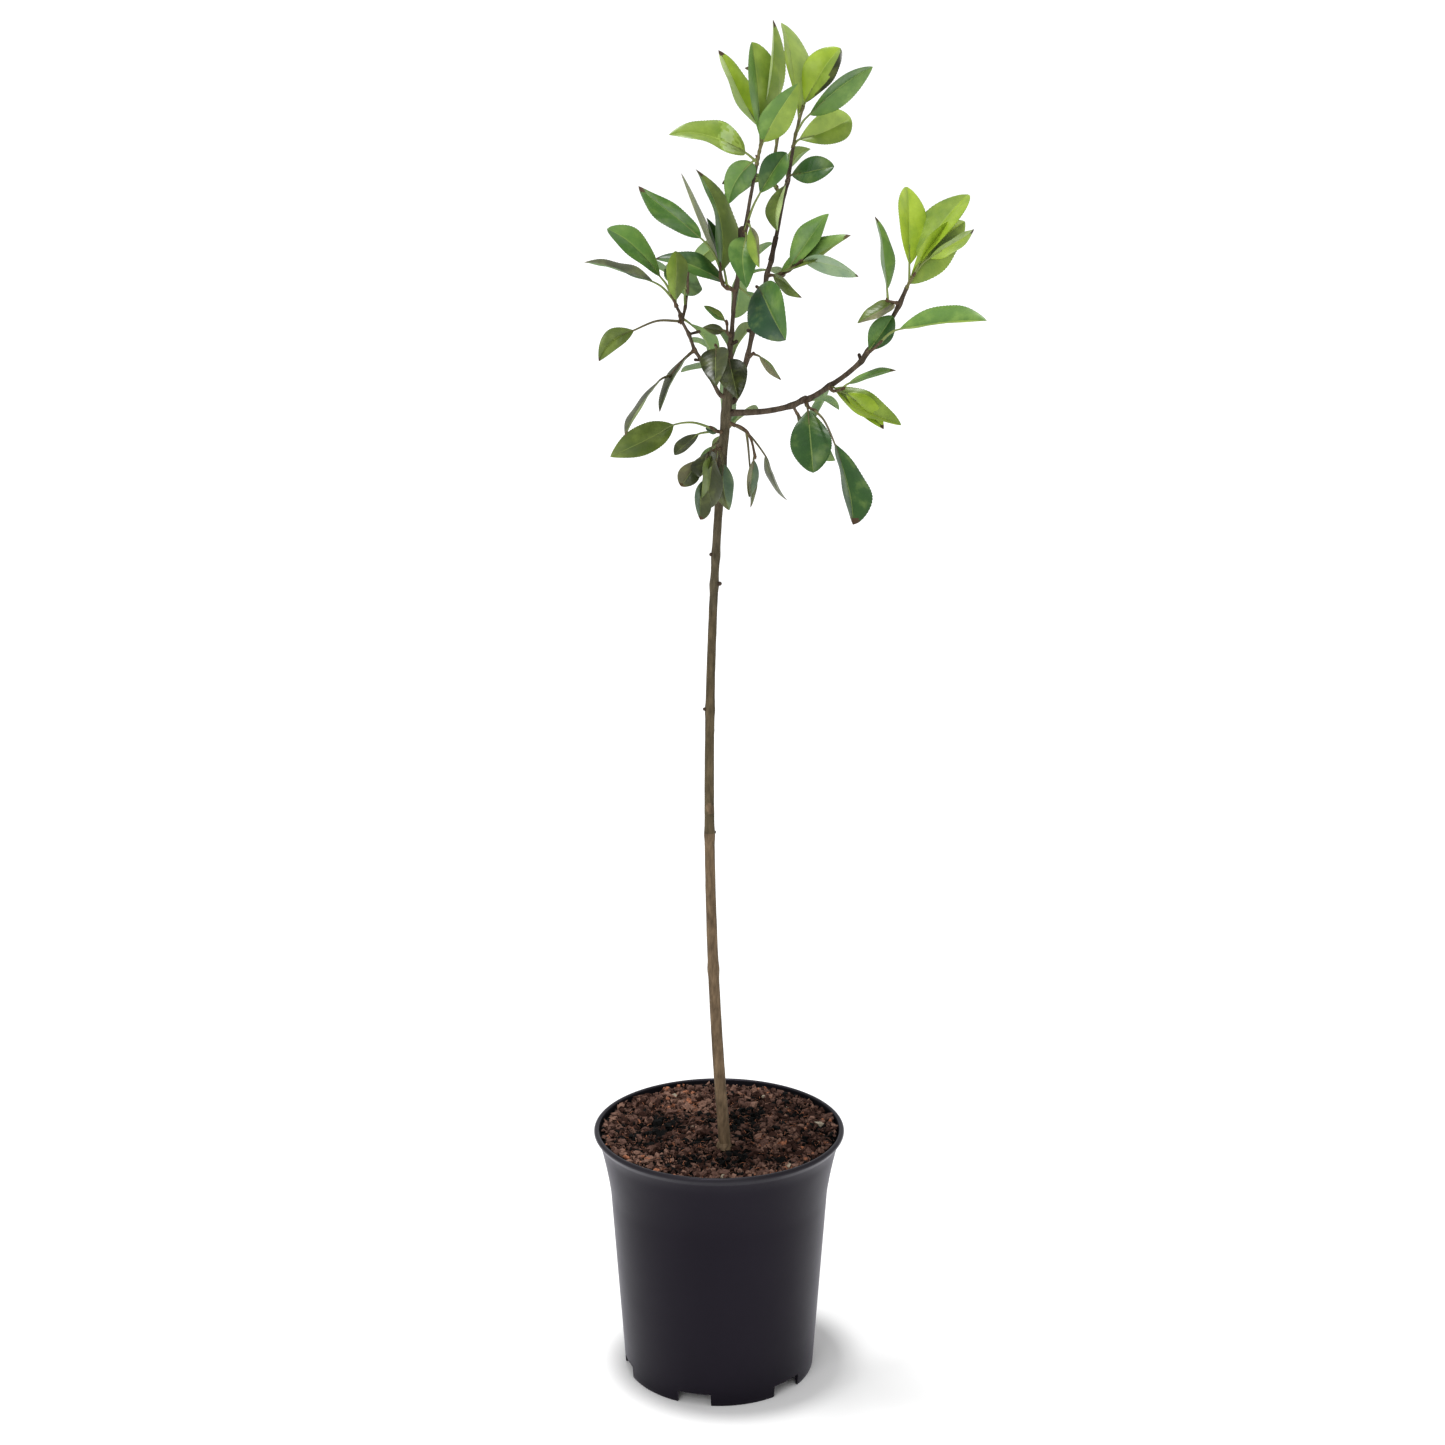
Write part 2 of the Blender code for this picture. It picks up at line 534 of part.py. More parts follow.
def blade_shell(leaf):
    """A closed skin that stands off the blade by the clearance, for testing what comes near it."""
    upper = blade_sheet(leaf, CLEARANCE)
    lower = blade_sheet(leaf, -CLEARANCE)
    count = len(upper)
    faces = sheet_faces(LEAF_ROWS + 1, 3) + sheet_faces(LEAF_ROWS + 1, 3, count)
    for column in (0, 2):
        rim = [row * 3 + column for row in range(LEAF_ROWS + 1)]
        faces += [(a, b, b + count, a + count) for a, b in zip(rim, rim[1:])]
    for row in (0, LEAF_ROWS):
        rim = [row * 3 + column for column in range(3)]
        faces += [(a, b, b + count, a + count) for a, b in zip(rim, rim[1:])]
    return BVHTree.FromPolygons(upper + lower, faces)


def tube_shell(path, radii, margin):
    """A four-sided skin round a path, for the same test."""
    points = []
    for index, (place, radius) in enumerate(zip(path, radii)):
        ahead = path[min(index + 1, len(path) - 1)] - path[max(index - 1, 0)]
        side = ahead.orthogonal().normalized()
        other = ahead.normalized().cross(side)
        reach = (radius + margin) * math.sqrt(2.0)
        points += [place + way * reach for way in (side, other, -side, -other)]
    faces = []
    for ring in range(len(path) - 1):
        for corner in range(4):
            after = (corner + 1) % 4
            low = ring * 4
            faces.append((low + corner, low + after, low + 4 + after, low + 4 + corner))
    return BVHTree.FromPolygons(points, faces)


def stalk_shell(leaf, first=0, margin=CLEARANCE / 2):
    path = leaf.stalk[first:]
    return tube_shell(path, [PETIOLE_RADIUS] * len(path), margin)


def leaf_clears(leaf, name, taken):
    """True where the leaf and its stalk keep clear of every limb and of every other mass."""
    blade = BVHTree.FromPolygons(blade_sheet(leaf), sheet_faces(LEAF_ROWS + 1, 3))
    stalk = stalk_shell(leaf, 1, 0.0)
    for owner, skin in taken:
        if owner != name and (blade.overlap(skin) or stalk.overlap(skin)):
            return False
    return True


def leaf_places(count):
    """Where along the twig each leaf stands. A single leaf stands at the twig's tip."""
    return tapered(FIRST_LEAF, 1.0, count) if count > 1 else [1.0]


def grow_leaves(mass, twig, taken):
    """The leaves of one mass. A leaf that meets something swings aside, or is skipped."""
    leaves = []
    front = 1.0 if mass.lean >= 0 else -1.0
    places = leaf_places(len(mass.leaves))
    for place, form, row, chance in zip(places, mass.forms, mass.leaves, leaf_draws(mass)):
        node, _ = point_along(twig, place)
        tilt, draws = chance
        for swing in SWINGS:
            leaf = place_leaf(node, FORMS[form], *row, tilt + swing, front, draws)
            if leaf_clears(leaf, mass.name, taken):
                leaves.append(leaf)
                break
    return leaves


def grow_masses(limbs):
    """The twig and the leaves of every mass."""
    twigs = {mass.name: twig_path(mass, limbs) for mass in MASSES}
    radii = tapered(TWIG_RADIUS, TWIG_TIP_RADIUS, TWIG_RINGS + 1)
    tubes = list(limbs.items()) + [(name, (path, radii)) for name, path in twigs.items()]
    taken = [(name, tube_shell(*limb, CLEARANCE / 2)) for name, limb in tubes]
    grown = []
    for mass in MASSES:
        leaves = grow_leaves(mass, twigs[mass.name], taken)
        for leaf in leaves:
            taken += [(mass.name, blade_shell(leaf)), (mass.name, stalk_shell(leaf))]
        grown.append((mass, twigs[mass.name], leaves))
    return grown


# Solids of the masses

def leaf_solid(leaf, name, collection):
    """A thin closed blade: a grid shaped by the rule, with a thickness."""
    mesh = bpy.data.meshes.new(name)
    mesh.from_pydata(blade_sheet(leaf), [], sheet_faces(LEAF_ROWS + 1, 3))
    blade = add_object(name, mesh, collection, None)
    thick = blade.modifiers.new("thickness", "SOLIDIFY")
    thick.thickness = LEAF_THICKNESS
    thick.offset = 0.0
    solid = welded(evaluated_mesh(blade))
    bpy.data.objects.remove(blade)
    return add_object(name, solid, collection, None)


def largest_body(mesh):
    """Keeps the largest closed skin of the mesh: loose scraps and sealed hollows go."""
    shape = bmesh.new()
    shape.from_mesh(mesh)
    left = set(shape.faces)
    bodies = []
    while left:
        body = set()
        front = [next(iter(left))]
        while front:
            face = front.pop()
            if face in body:
                continue
            body.add(face)
            front.extend(near for edge in face.edges for near in edge.link_faces if near not in body)
        left -= body
        bodies.append(body)
    keep = max(bodies, key=len)
    scraps = [face for body in bodies if body is not keep for face in body]
    bmesh.ops.delete(shape, geom=scraps, context="FACES")
    bmesh.ops.triangulate(shape, faces=shape.faces)
    shape.to_mesh(mesh)
    shape.free()
    return mesh


def make_mass(mass, path, leaves, parts):
    colour = mixed(YOUNG_LEAF_COLOUR, OLD_LEAF_COLOUR, mass.age)
    material = principled(mass.name, colour, LEAF_ROUGHNESS)
    radii = tapered(TWIG_RADIUS, TWIG_TIP_RADIUS, len(path))
    twig = tube(mass.name + "_twig", path, radii, TWIG_SIDES, parts, material)
    pieces = new_collection(mass.name + "_pieces")
    for index, leaf in enumerate(leaves):
        leaf_solid(leaf, f"blade_{index}", pieces)
        tube(f"stalk_{index}", leaf.stalk, [PETIOLE_RADIUS] * len(leaf.stalk), TWIG_SIDES, pieces, None)
    join = twig.modifiers.new("join", "BOOLEAN")
    join.operation = "UNION"
    join.operand_type = "COLLECTION"
    join.collection = pieces
    join.solver = "EXACT"
    solid = largest_body(evaluated_mesh(twig))
    for thing in list(pieces.objects) + [twig]:
        bpy.data.objects.remove(thing)
    bpy.data.collections.remove(pieces)
    add_object(mass.name, solid, parts, material)


def mixed(first, last, part):
    return tuple(a + (b - a) * part for a, b in zip(first, last))


def main():
    clear_scene()
    parts = new_collection(NAME)
    bark = principled("bark", BARK_COLOUR, BARK_ROUGHNESS)
    limbs = grow_limbs()
    for name, (path, radii) in limbs.items():
        tube(name, path, radii, TRUNK_SIDES if name == "trunk" else LIMB_SIDES, parts, bark)
    for mass, path, leaves in grow_masses(limbs):
        make_mass(mass, path, leaves, parts)
    make_compost(parts)
    make_pot(parts, new_collection("cutters"))


main()
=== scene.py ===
import json
import math
import random
from collections import namedtuple

import bmesh
import bpy
import numpy as np
from mathutils import Matrix, Vector, noise
from mathutils.bvhtree import BVHTree

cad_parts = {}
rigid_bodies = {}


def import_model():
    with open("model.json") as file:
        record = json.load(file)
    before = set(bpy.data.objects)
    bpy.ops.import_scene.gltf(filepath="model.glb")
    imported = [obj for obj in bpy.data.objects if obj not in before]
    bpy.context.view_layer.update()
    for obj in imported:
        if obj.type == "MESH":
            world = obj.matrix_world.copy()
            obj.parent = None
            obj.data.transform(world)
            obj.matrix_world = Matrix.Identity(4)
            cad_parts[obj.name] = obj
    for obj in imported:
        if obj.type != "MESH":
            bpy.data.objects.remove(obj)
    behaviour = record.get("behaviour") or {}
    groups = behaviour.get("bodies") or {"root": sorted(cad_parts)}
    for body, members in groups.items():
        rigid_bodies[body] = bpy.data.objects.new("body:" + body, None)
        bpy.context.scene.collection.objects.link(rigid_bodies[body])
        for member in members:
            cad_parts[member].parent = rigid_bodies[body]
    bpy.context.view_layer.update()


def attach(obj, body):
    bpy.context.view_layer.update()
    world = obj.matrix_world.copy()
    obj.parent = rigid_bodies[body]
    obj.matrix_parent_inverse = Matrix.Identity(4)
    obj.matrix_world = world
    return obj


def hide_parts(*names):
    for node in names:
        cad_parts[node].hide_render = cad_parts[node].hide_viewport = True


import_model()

# The tree's sizes and its rule, as the source has them

GAP = 0.0003
POT_HEIGHT = 0.226
RIM_RADIUS = 0.1105
BODY_TOP_RADIUS = 0.0957
FOOT_RADIUS = 0.0845
COLLAR_FOOT = 0.162
COLLAR_CURVE = 1.35
WALL = 0.0024
LIP_RADIUS = 0.0022
LIP_DEPTH = 0.007
LIP_WIDTH = 0.0048
FLOOR_TOP = 0.015
FLOOR_THICKNESS = 0.0025
HUB_RADIUS = 0.020
NOTCHES = 6
NOTCH_WIDTH = 0.030
NOTCH_HEIGHT = 0.011
NOTCH_INNER_RADIUS = 0.074
NOTCH_FIRST_ANGLE = -75.0
DRAIN_RADIUS = 0.0045
DRAIN_CIRCLE = 0.062
SOIL_TOP = 0.221
SOIL_FLAT_RADIUS = 0.062

TRUNK_FOOT = Vector((0.005, -0.035, SOIL_TOP + GAP))
TRUNK_ELBOW = Vector((-0.0225, -0.035, 0.564))
TRUNK_TOP = Vector((0.008, -0.035, 0.880))
TRUNK_FLARE_RADIUS = 0.0080
TRUNK_FLARE_HEIGHT = 0.016
TRUNK_FOOT_RADIUS = 0.0054
TRUNK_WAIST_RADIUS = 0.0033
TRUNK_FORK_RADIUS = 0.0042
TRUNK_WAIST = 0.80
TRUNK_RINGS = 18
LIMB_RINGS = 8

FRONT_DROP = math.radians(13.8)
FRONT_UP = Vector((0.0, math.sin(FRONT_DROP), math.cos(FRONT_DROP)))
FRONT_NEAR = Vector((0.0, -math.cos(FRONT_DROP), math.sin(FRONT_DROP)))

LEAF_LONGEST = 0.086
LEAF_BASE_HALF = 0.0008
LEAF_TIP_HALF = 0.0004
LEAF_ROWS = 4
TWIG_RADIUS = 0.0014
TWIG_TIP_RADIUS = 0.0010
TWIG_RINGS = 4
TWIG_RISE = 0.5
PETIOLE_RADIUS = 0.0009
PETIOLE_LONG = 0.015
PETIOLE_ARCH = 0.10
PETIOLE_LIFT = 0.5
COLLAR = 0.002
FIRST_LEAF = 0.20
TILT_RANGE = (-34.0, 34.0)
SIDE_RANGE = (-1.0, 1.0)
BOW_RANGE = (-0.02, 0.10)
BEND_RANGE = (-0.12, 0.12)
FOLD_RANGE = (6.0, 24.0)
DRAW_RANGES = (TILT_RANGE, SIDE_RANGE, BOW_RANGE, BEND_RANGE, FOLD_RANGE)
LIGHT_RISE = 0.4
CLEARANCE = 0.0011
SWINGS = (0, 14, -14, 28, -28, 42, -42, 56, -56)

Form = namedtuple("Form", "breadth peak end")
FORMS = {
    "p": Form(0.50, 0.88, 0.80),
    "r": Form(0.62, 1.30, 0.62),
    "b": Form(0.58, 0.64, 0.74),
}

Limb = namedtuple("Limb", "name parent place elbow tip foot_radius tip_radius")

LIMBS = [
    Limb("leader_left", "trunk", 1.0, (0.0095, -0.036, 0.955), (0.0295, -0.055, 1.052), 0.0021, 0.0013),
    Limb("leader_right", "trunk", 0.985, (0.043, -0.026, 0.972), (0.059, -0.008, 1.065), 0.0021, 0.0014),
    Limb("bough_right", "trunk", 0.969, (0.106, -0.045, 0.858), (0.147, -0.060, 0.958), 0.0026, 0.0017),
    Limb("bough_left", "trunk", 0.988, (-0.018, -0.045, 0.904), (-0.033, -0.060, 0.944), 0.0018, 0.0012),
    Limb("bough_back", "trunk", 0.978, (0.011, -0.002, 0.879), (0.010, 0.024, 0.888), 0.0018, 0.0013),
]

# A mass is one twig with its leaves. A leaf is its heading in degrees, the length of its stalk, its reach and
# its width as a share of the reach. Its tints are the half to its right, the half to its left and, on some,
# a mark: t for a dark tip, w for a painted highlight near the base, e for a dark edge on the right. Where the
# two half tints differ, they paint the lit and the shaded side of the leaf's fold over its own tone.
Mass = namedtuple("Mass", "name limb place tip lean age seed forms leaves tints")

MASSES = [Mass("leaves_" + name, *rest) for name, *rest in [
    ("top_left", "leader_left", 1.0, (0.0345, -0.062, 1.076), 8, 0.25, 25456, "bbprpp",
     [(167, 0.012, 0.059, 0.49), (-122, 0.006, 0.035, 0.75), (54, 0.008, 0.045, 0.46),
      (96, 0.006, 0.066, 0.39), (116, 0.010, 0.064, 0.33), (85, 0.014, 0.073, 0.16)],
     "llw gm lg lg ywt lwt"),
    ("top_right", "leader_right", 1.0, (0.067, 0.000, 1.096), 4, 0.1, 7729, "rprr",
     [(27, 0.007, 0.047, 0.75), (38, 0.019, 0.064, 0.18), (98, 0.005, 0.076, 0.30),
      (57, 0.004, 0.048, 0.59)], "lv gm vy lye"),
    ("right_mid", "leader_right", 0.88, (0.0545, -0.030, 1.042), 12, 0.85, 122, "pr",
     [(-101, 0.006, 0.038, 0.34), (5, 0.004, 0.032, 0.75)], "ow dd"),
    ("centre", "leader_left", 0.765, (0.023, -0.075, 1.009), 12, 0.5, 1719, "rbp",
     [(56, 0.032, 0.036, 0.75), (-89, 0.008, 0.041, 0.58), (-81, 0.006, 0.033, 0.27)], "md mm ln"),
    ("right_shoot", "leader_right", 0.55, (0.064, -0.050, 0.978), 14, 0.6, 10087, "pppp",
     [(-46, 0.003, 0.030, 0.14), (26, 0.003, 0.059, 0.37), (55, 0.005, 0.048, 0.43),
      (-20, 0.003, 0.045, 0.14)], "oot ogt gg ppt"),
    ("centre_right", "leader_right", 0.49, (0.030, -0.055, 0.959), 25, 1.0, 11899, "r",
     [(-70, 0.004, 0.050, 0.59)], "bm"),
    ("left_upper", "leader_left", 0.535, (0.001, -0.050, 0.975), 10, 0.7, 13279, "ppppp",
     [(159, 0.008, 0.058, 0.38), (107, 0.020, 0.039, 0.27), (111, 0.016, 0.083, 0.08),
      (102, 0.003, 0.084, 0.25), (147, 0.027, 0.058, 0.16)], "dmt dm nnt omt mmt"),
    ("left_mid", "bough_left", 1.0, (-0.0365, -0.062, 0.952), 5, 0.75, 12251, "rpr",
     [(88, 0.003, 0.036, 0.46), (161, 0.022, 0.056, 0.27), (139, 0.018, 0.052, 0.49)], "ol kmt gm"),
    ("left_small", "leader_left", 0.345, (0.0065, -0.050, 0.930), 15, 0.9, 4281, "pp",
     [(176, 0.007, 0.016, 0.75), (143, 0.003, 0.020, 0.42)], "kk om"),
    ("left_spur", "bough_left", 0.92, (-0.030, -0.065, 0.933), 5, 0.9, 4824, "p",
     [(-139, 0.038, 0.036, 0.75)], "oot"),
    ("left_drooping", "bough_left", 0.605, (-0.037, -0.062, 0.891), 5, 0.8, 4930, "pp",
     [(-117, 0.006, 0.051, 0.20), (-122, 0.014, 0.054, 0.20)], "kot kot"),
    ("fork_front", "leader_left", 0.24, (-0.002, -0.060, 0.913), 20, 1.0, 1712, "bb",
     [(-78, 0.003, 0.035, 0.73), (-90, 0.006, 0.033, 0.68)], "kx xk"),
    ("fork_right", "leader_right", 0.265, (0.027, -0.045, 0.906), 10, 0.8, 13310, "p",
     [(-49, 0.006, 0.026, 0.15)], "not"),
    ("trunk_left", "trunk", 0.945, (-0.0055, -0.048, 0.8475), 10, 0.6, 12848, "rrp",
     [(174, 0.002, 0.010, 0.75), (-141, 0.014, 0.026, 0.49), (-153, 0.032, 0.056, 0.48)], "ss kk oo"),
    ("trunk_low", "trunk", 0.925, (-0.012, -0.058, 0.825), 15, 0.95, 8754, "prrrr",
     [(-83, 0.014, 0.038, 0.46), (-97, 0.014, 0.044, 0.37), (-110, 0.003, 0.025, 0.71),
      (-94, 0.036, 0.032, 0.42), (-122, 0.006, 0.026, 0.75)], "ks ok xk skt nkt"),
    ("trunk_right", "trunk", 0.955, (0.029, -0.040, 0.825), 5, 0.8, 10032, "ppp",
     [(-65, 0.044, 0.039, 0.06), (-87, 0.026, 0.034, 0.20), (-97, 0.004, 0.030, 0.31)], "kkt kkt ns"),
    ("bough_under", "bough_right", 0.42, (0.076, -0.060, 0.863), 20, 1.0, 6555, "rr",
     [(-86, 0.012, 0.050, 0.75), (-77, 0.044, 0.066, 0.37)], "dd sdt"),
    ("bough_mid", "bough_right", 0.535, (0.0975, -0.062, 0.880), 10, 0.45, 3245, "ppp",
     [(-28, 0.004, 0.060, 0.39), (-43, 0.010, 0.041, 0.43), (16, 0.006, 0.038, 0.30)], "yl yyt ggt"),
    ("bough_fork", "bough_right", 0.745, (0.126, -0.074, 0.917), 10, 0.7, 10529, "rp",
     [(54, 0.002, 0.030, 0.75), (2, 0.020, 0.063, 0.38)], "dm lg"),
    ("bough_side", "bough_right", 0.945, (0.132, -0.070, 0.949), 10, 0.7, 9666, "bp",
     [(-149, 0.003, 0.033, 0.47), (97, 0.009, 0.057, 0.23)], "on gpt"),
    ("bough_tip", "bough_right", 1.0, (0.152, -0.064, 0.968), 0, 0.05, 2182, "prpr",
     [(48, 0.003, 0.070, 0.33), (90, 0.014, 0.063, 0.40), (31, 0.022, 0.043, 0.14),
      (55, 0.012, 0.068, 0.43)], "ly zz ylt yl"),
    ("back_top", "leader_right", 0.84, (0.0526, 0.030, 1.0964), -35, 0.3, 5, "prprp",
     [(60, 0.010, 0.036, 0.42), (-180, 0.012, 0.034, 0.42), (-144, 0.010, 0.040, 0.42),
      (96, 0.010, 0.036, 0.42), (132, 0.008, 0.040, 0.42)], "gl lgt gg ml gmt"),
    ("back_centre", "leader_left", 0.55, (0.0173, 0.022, 0.9748), -35, 0.6, 20, "prprr",
     [(-60, 0.008, 0.034, 0.42), (12, 0.010, 0.032, 0.42), (48, 0.010, 0.036, 0.42),
      (120, 0.010, 0.036, 0.42), (-96, 0.010, 0.034, 0.42)], "gm omt gm dm mg"),
    ("back_low", "bough_back", 1.0, (0.0068, 0.045, 0.8837), -40, 0.8, 253, "prppr",
     [(108, 0.010, 0.030, 0.42), (-96, 0.012, 0.036, 0.42), (144, 0.010, 0.034, 0.42),
      (-180, 0.010, 0.034, 0.42), (60, 0.010, 0.038, 0.42)], "dm mdt mm dd mot"),
    ("trunk_back", "trunk", 0.935, (-0.0056, -0.004, 0.7982), -40, 0.9, 153, "prpr",
     [(-120, 0.010, 0.028, 0.42), (36, 0.014, 0.030, 0.42), (-84, 0.012, 0.028, 0.42),
      (72, 0.010, 0.032, 0.42)], "mo omt dm ko"),
    ("bough_rear", "bough_right", 0.36, (0.0764, 0.000, 0.8405), -40, 0.9, 35, "prpp",
     [(0, 0.008, 0.032, 0.42), (-84, 0.010, 0.030, 0.42), (-48, 0.010, 0.034, 0.42),
      (72, 0.010, 0.034, 0.42)], "dm mmt md gm"),
    ("left_rear", "bough_left", 0.88, (-0.0249, 0.000, 0.9678), -40, 0.7, 34, "prpp",
     [(-60, 0.010, 0.034, 0.42), (96, 0.012, 0.036, 0.42), (144, 0.012, 0.036, 0.42),
      (48, 0.010, 0.034, 0.42)], "mg mmt gm lg"),
]]

Leaf = namedtuple("Leaf", "stalk base along across face length form bow bend fold")


def tapered(first, last, count):
    return [first + (last - first) * step / (count - 1) for step in range(count)]


def on_curve(start, elbow, tip, t):
    return start.lerp(elbow, t).lerp(elbow.lerp(tip, t), t)


def curve_path(start, elbow, tip, rings):
    return [on_curve(start, elbow, tip, step / (rings - 1)) for step in range(rings)]


def trunk_path():
    upright = TRUNK_FOOT + Vector((0.0, 0.0, TRUNK_FLARE_HEIGHT / 3))
    return [TRUNK_FOOT] + curve_path(upright, TRUNK_ELBOW, TRUNK_TOP, TRUNK_RINGS)


def trunk_radius(t):
    flare = max(0.0, 1.0 - t * (TRUNK_TOP.z - TRUNK_FOOT.z) / TRUNK_FLARE_HEIGHT) ** 2
    plain = np.interp(t, (0.0, TRUNK_WAIST, 1.0), (TRUNK_FOOT_RADIUS, TRUNK_WAIST_RADIUS, TRUNK_FORK_RADIUS))
    return plain + (TRUNK_FLARE_RADIUS - TRUNK_FOOT_RADIUS) * flare


def point_along(path, place):
    exact = place * (len(path) - 1)
    index = min(int(exact), len(path) - 2)
    direction = (path[index + 1] - path[index]).normalized()
    return path[index].lerp(path[index + 1], exact - index), direction


def leave(limb, place, target):
    path, radii = limb
    point, direction = point_along(path, place)
    if place == 1.0:
        return point + direction * GAP, direction
    aim = target - point
    outward = (aim - direction * aim.dot(direction)).normalized()
    radius = np.interp(place * (len(radii) - 1), range(len(radii)), radii)
    return point + outward * (radius + GAP), outward


def limb_path(limb, limbs):
    start, outward = leave(limbs[limb.parent], limb.place, Vector(limb.elbow))
    square = start + outward * COLLAR
    return [start] + curve_path(square, Vector(limb.elbow), Vector(limb.tip), LIMB_RINGS)


def grow_limbs():
    path = trunk_path()
    limbs = {"trunk": (path, [trunk_radius(i / (len(path) - 1)) for i in range(len(path))])}
    for limb in LIMBS:
        path = limb_path(limb, limbs)
        limbs[limb.name] = (path, tapered(limb.foot_radius, limb.tip_radius, len(path)))
    return limbs


def twig_path(mass, limbs):
    tip = Vector(mass.tip)
    start, outward = leave(limbs[mass.limb], mass.place, tip)
    square = start + outward * COLLAR
    elbow = square + outward * (tip - square).length * TWIG_RISE
    return [start] + curve_path(square, elbow, tip, TWIG_RINGS)


def leaf_outline(t, form):
    return math.sin(math.pi * t ** form.peak) ** form.end if 0.0 < t < 1.0 else 0.0


def blade_point(leaf, t, s):
    arch = 4.0 * t * (1.0 - t) * leaf.length
    middle = leaf.base + leaf.along * leaf.length * t
    middle += (leaf.face * leaf.bow + leaf.across * leaf.bend) * arch
    least = LEAF_BASE_HALF + (LEAF_TIP_HALF - LEAF_BASE_HALF) * t
    half = max(least, leaf.length * leaf.form.breadth / 2 * leaf_outline(t, leaf.form))
    fold = math.radians(leaf.fold)
    return middle + leaf.across * s * half * math.cos(fold) + leaf.face * abs(s) * half * math.sin(fold)


def place_leaf(node, form, heading, stalk, reach, width, tilt, front, draws):
    side, bow, bend, fold = draws
    steepest = math.degrees(math.acos(min(1.0, reach / LEAF_LONGEST)))
    lean = math.radians(max(-steepest, min(steepest, tilt)))
    turn = math.radians(heading)
    flat = Vector((math.cos(turn), 0.0, 0.0)) + FRONT_UP * math.sin(turn)
    along = flat * math.cos(lean) + FRONT_NEAR * math.sin(lean)
    light = Vector((0.0, -front, LIGHT_RISE))
    face = (light - along * light.dot(along)).normalized()
    turned_away = width * math.cos(lean) / form.breadth / math.cos(math.radians(fold))
    roll = math.copysign(math.acos(min(1.0, turned_away)), side)
    face.rotate(Matrix.Rotation(roll, 3, along))
    across = along.cross(face)
    rise = (along + Vector((0.0, 0.0, PETIOLE_LIFT))).normalized()
    base = node + rise * stalk
    length = reach / math.cos(lean)
    leaf = Leaf([], base, along, across, face, length, form, bow, bend, fold)
    leaf.stalk.append(node)
    if stalk > PETIOLE_LONG:
        leaf.stalk.append(node.lerp(base, 0.5) + Vector((0.0, 0.0, stalk * PETIOLE_ARCH)))
    leaf.stalk.extend([base, blade_point(leaf, 1.0 / LEAF_ROWS, 0.0)])
    return leaf


def leaf_draws(mass):
    """The tilt of each leaf, then its side, bow, bend and fold."""
    chance = random.Random(mass.seed)
    draws = [[chance.uniform(*limits) for limits in DRAW_RANGES] for _ in mass.leaves]
    return [(mass.lean + tilt, rest) for tilt, *rest in draws]


def sheet_faces(rows, columns):
    return [(r * columns + c, r * columns + c + 1, (r + 1) * columns + c + 1, (r + 1) * columns + c)
            for r in range(rows - 1) for c in range(columns - 1)]


def skin_faces(rows, columns):
    """Faces for two sheets of points, the upper one first, and for the edge that joins them."""
    count = rows * columns
    top = sheet_faces(rows, columns)
    bottom = [tuple(i + count for i in face[::-1]) for face in top]
    rim = (list(range(columns)) + [r * columns + columns - 1 for r in range(1, rows)]
           + [count - 1 - c for c in range(1, columns)] + [r * columns for r in range(rows - 2, 0, -1)])
    return top, bottom, [(b, a, a + count, b + count) for a, b in zip(rim, rim[1:] + rim[:1])]


def ring_faces(rings, sides):
    """The faces of a tube between its rings of points."""
    after = [(corner + 1) % sides for corner in range(sides)]
    return [(ring * sides + corner, ring * sides + after[corner],
             (ring + 1) * sides + after[corner], (ring + 1) * sides + corner)
            for ring in range(rings - 1) for corner in range(sides)]


def blade_sheet(leaf, offset=0.0):
    return [blade_point(leaf, row / LEAF_ROWS, side) + leaf.face * offset
            for row in range(LEAF_ROWS + 1) for side in (-1.0, 0.0, 1.0)]


def blade_shell(leaf):
    top, bottom, edge = skin_faces(LEAF_ROWS + 1, 3)
    points = blade_sheet(leaf, CLEARANCE) + blade_sheet(leaf, -CLEARANCE)
    return BVHTree.FromPolygons(points, top + bottom + edge)


def tube_shell(path, radii, margin):
    points = []
    for index, (place, radius) in enumerate(zip(path, radii)):
        ahead = path[min(index + 1, len(path) - 1)] - path[max(index - 1, 0)]
        side = ahead.orthogonal().normalized()
        other = ahead.normalized().cross(side)
        reach = (radius + margin) * math.sqrt(2.0)
        points += [place + way * reach for way in (side, other, -side, -other)]
    return BVHTree.FromPolygons(points, ring_faces(len(path), 4))


def stalk_shell(leaf, first=0, margin=CLEARANCE / 2):
    path = leaf.stalk[first:]
    return tube_shell(path, [PETIOLE_RADIUS] * len(path), margin)


def leaf_clears(leaf, name, taken):
    blade = BVHTree.FromPolygons(blade_sheet(leaf), sheet_faces(LEAF_ROWS + 1, 3))
    stalk = stalk_shell(leaf, 1, 0.0)
    for owner, skin in taken:
        if owner != name and (blade.overlap(skin) or stalk.overlap(skin)):
            return False
    return True


def leaf_places(count):
    return tapered(FIRST_LEAF, 1.0, count) if count > 1 else [1.0]


def grow_leaves(mass, twig, taken):
    """The leaves of one mass, each with its tints."""
    leaves = []
    front = 1.0 if mass.lean >= 0 else -1.0
    tints = mass.tints.split()
    places = leaf_places(len(mass.leaves))
    for place, form, row, chance, tint in zip(places, mass.forms, mass.leaves, leaf_draws(mass), tints):
        node, _ = point_along(twig, place)
        tilt, draws = chance
        for swing in SWINGS:
            leaf = place_leaf(node, FORMS[form], *row, tilt + swing, front, draws)
            if leaf_clears(leaf, mass.name, taken):
                leaves.append((leaf, tint))
                break
    return leaves


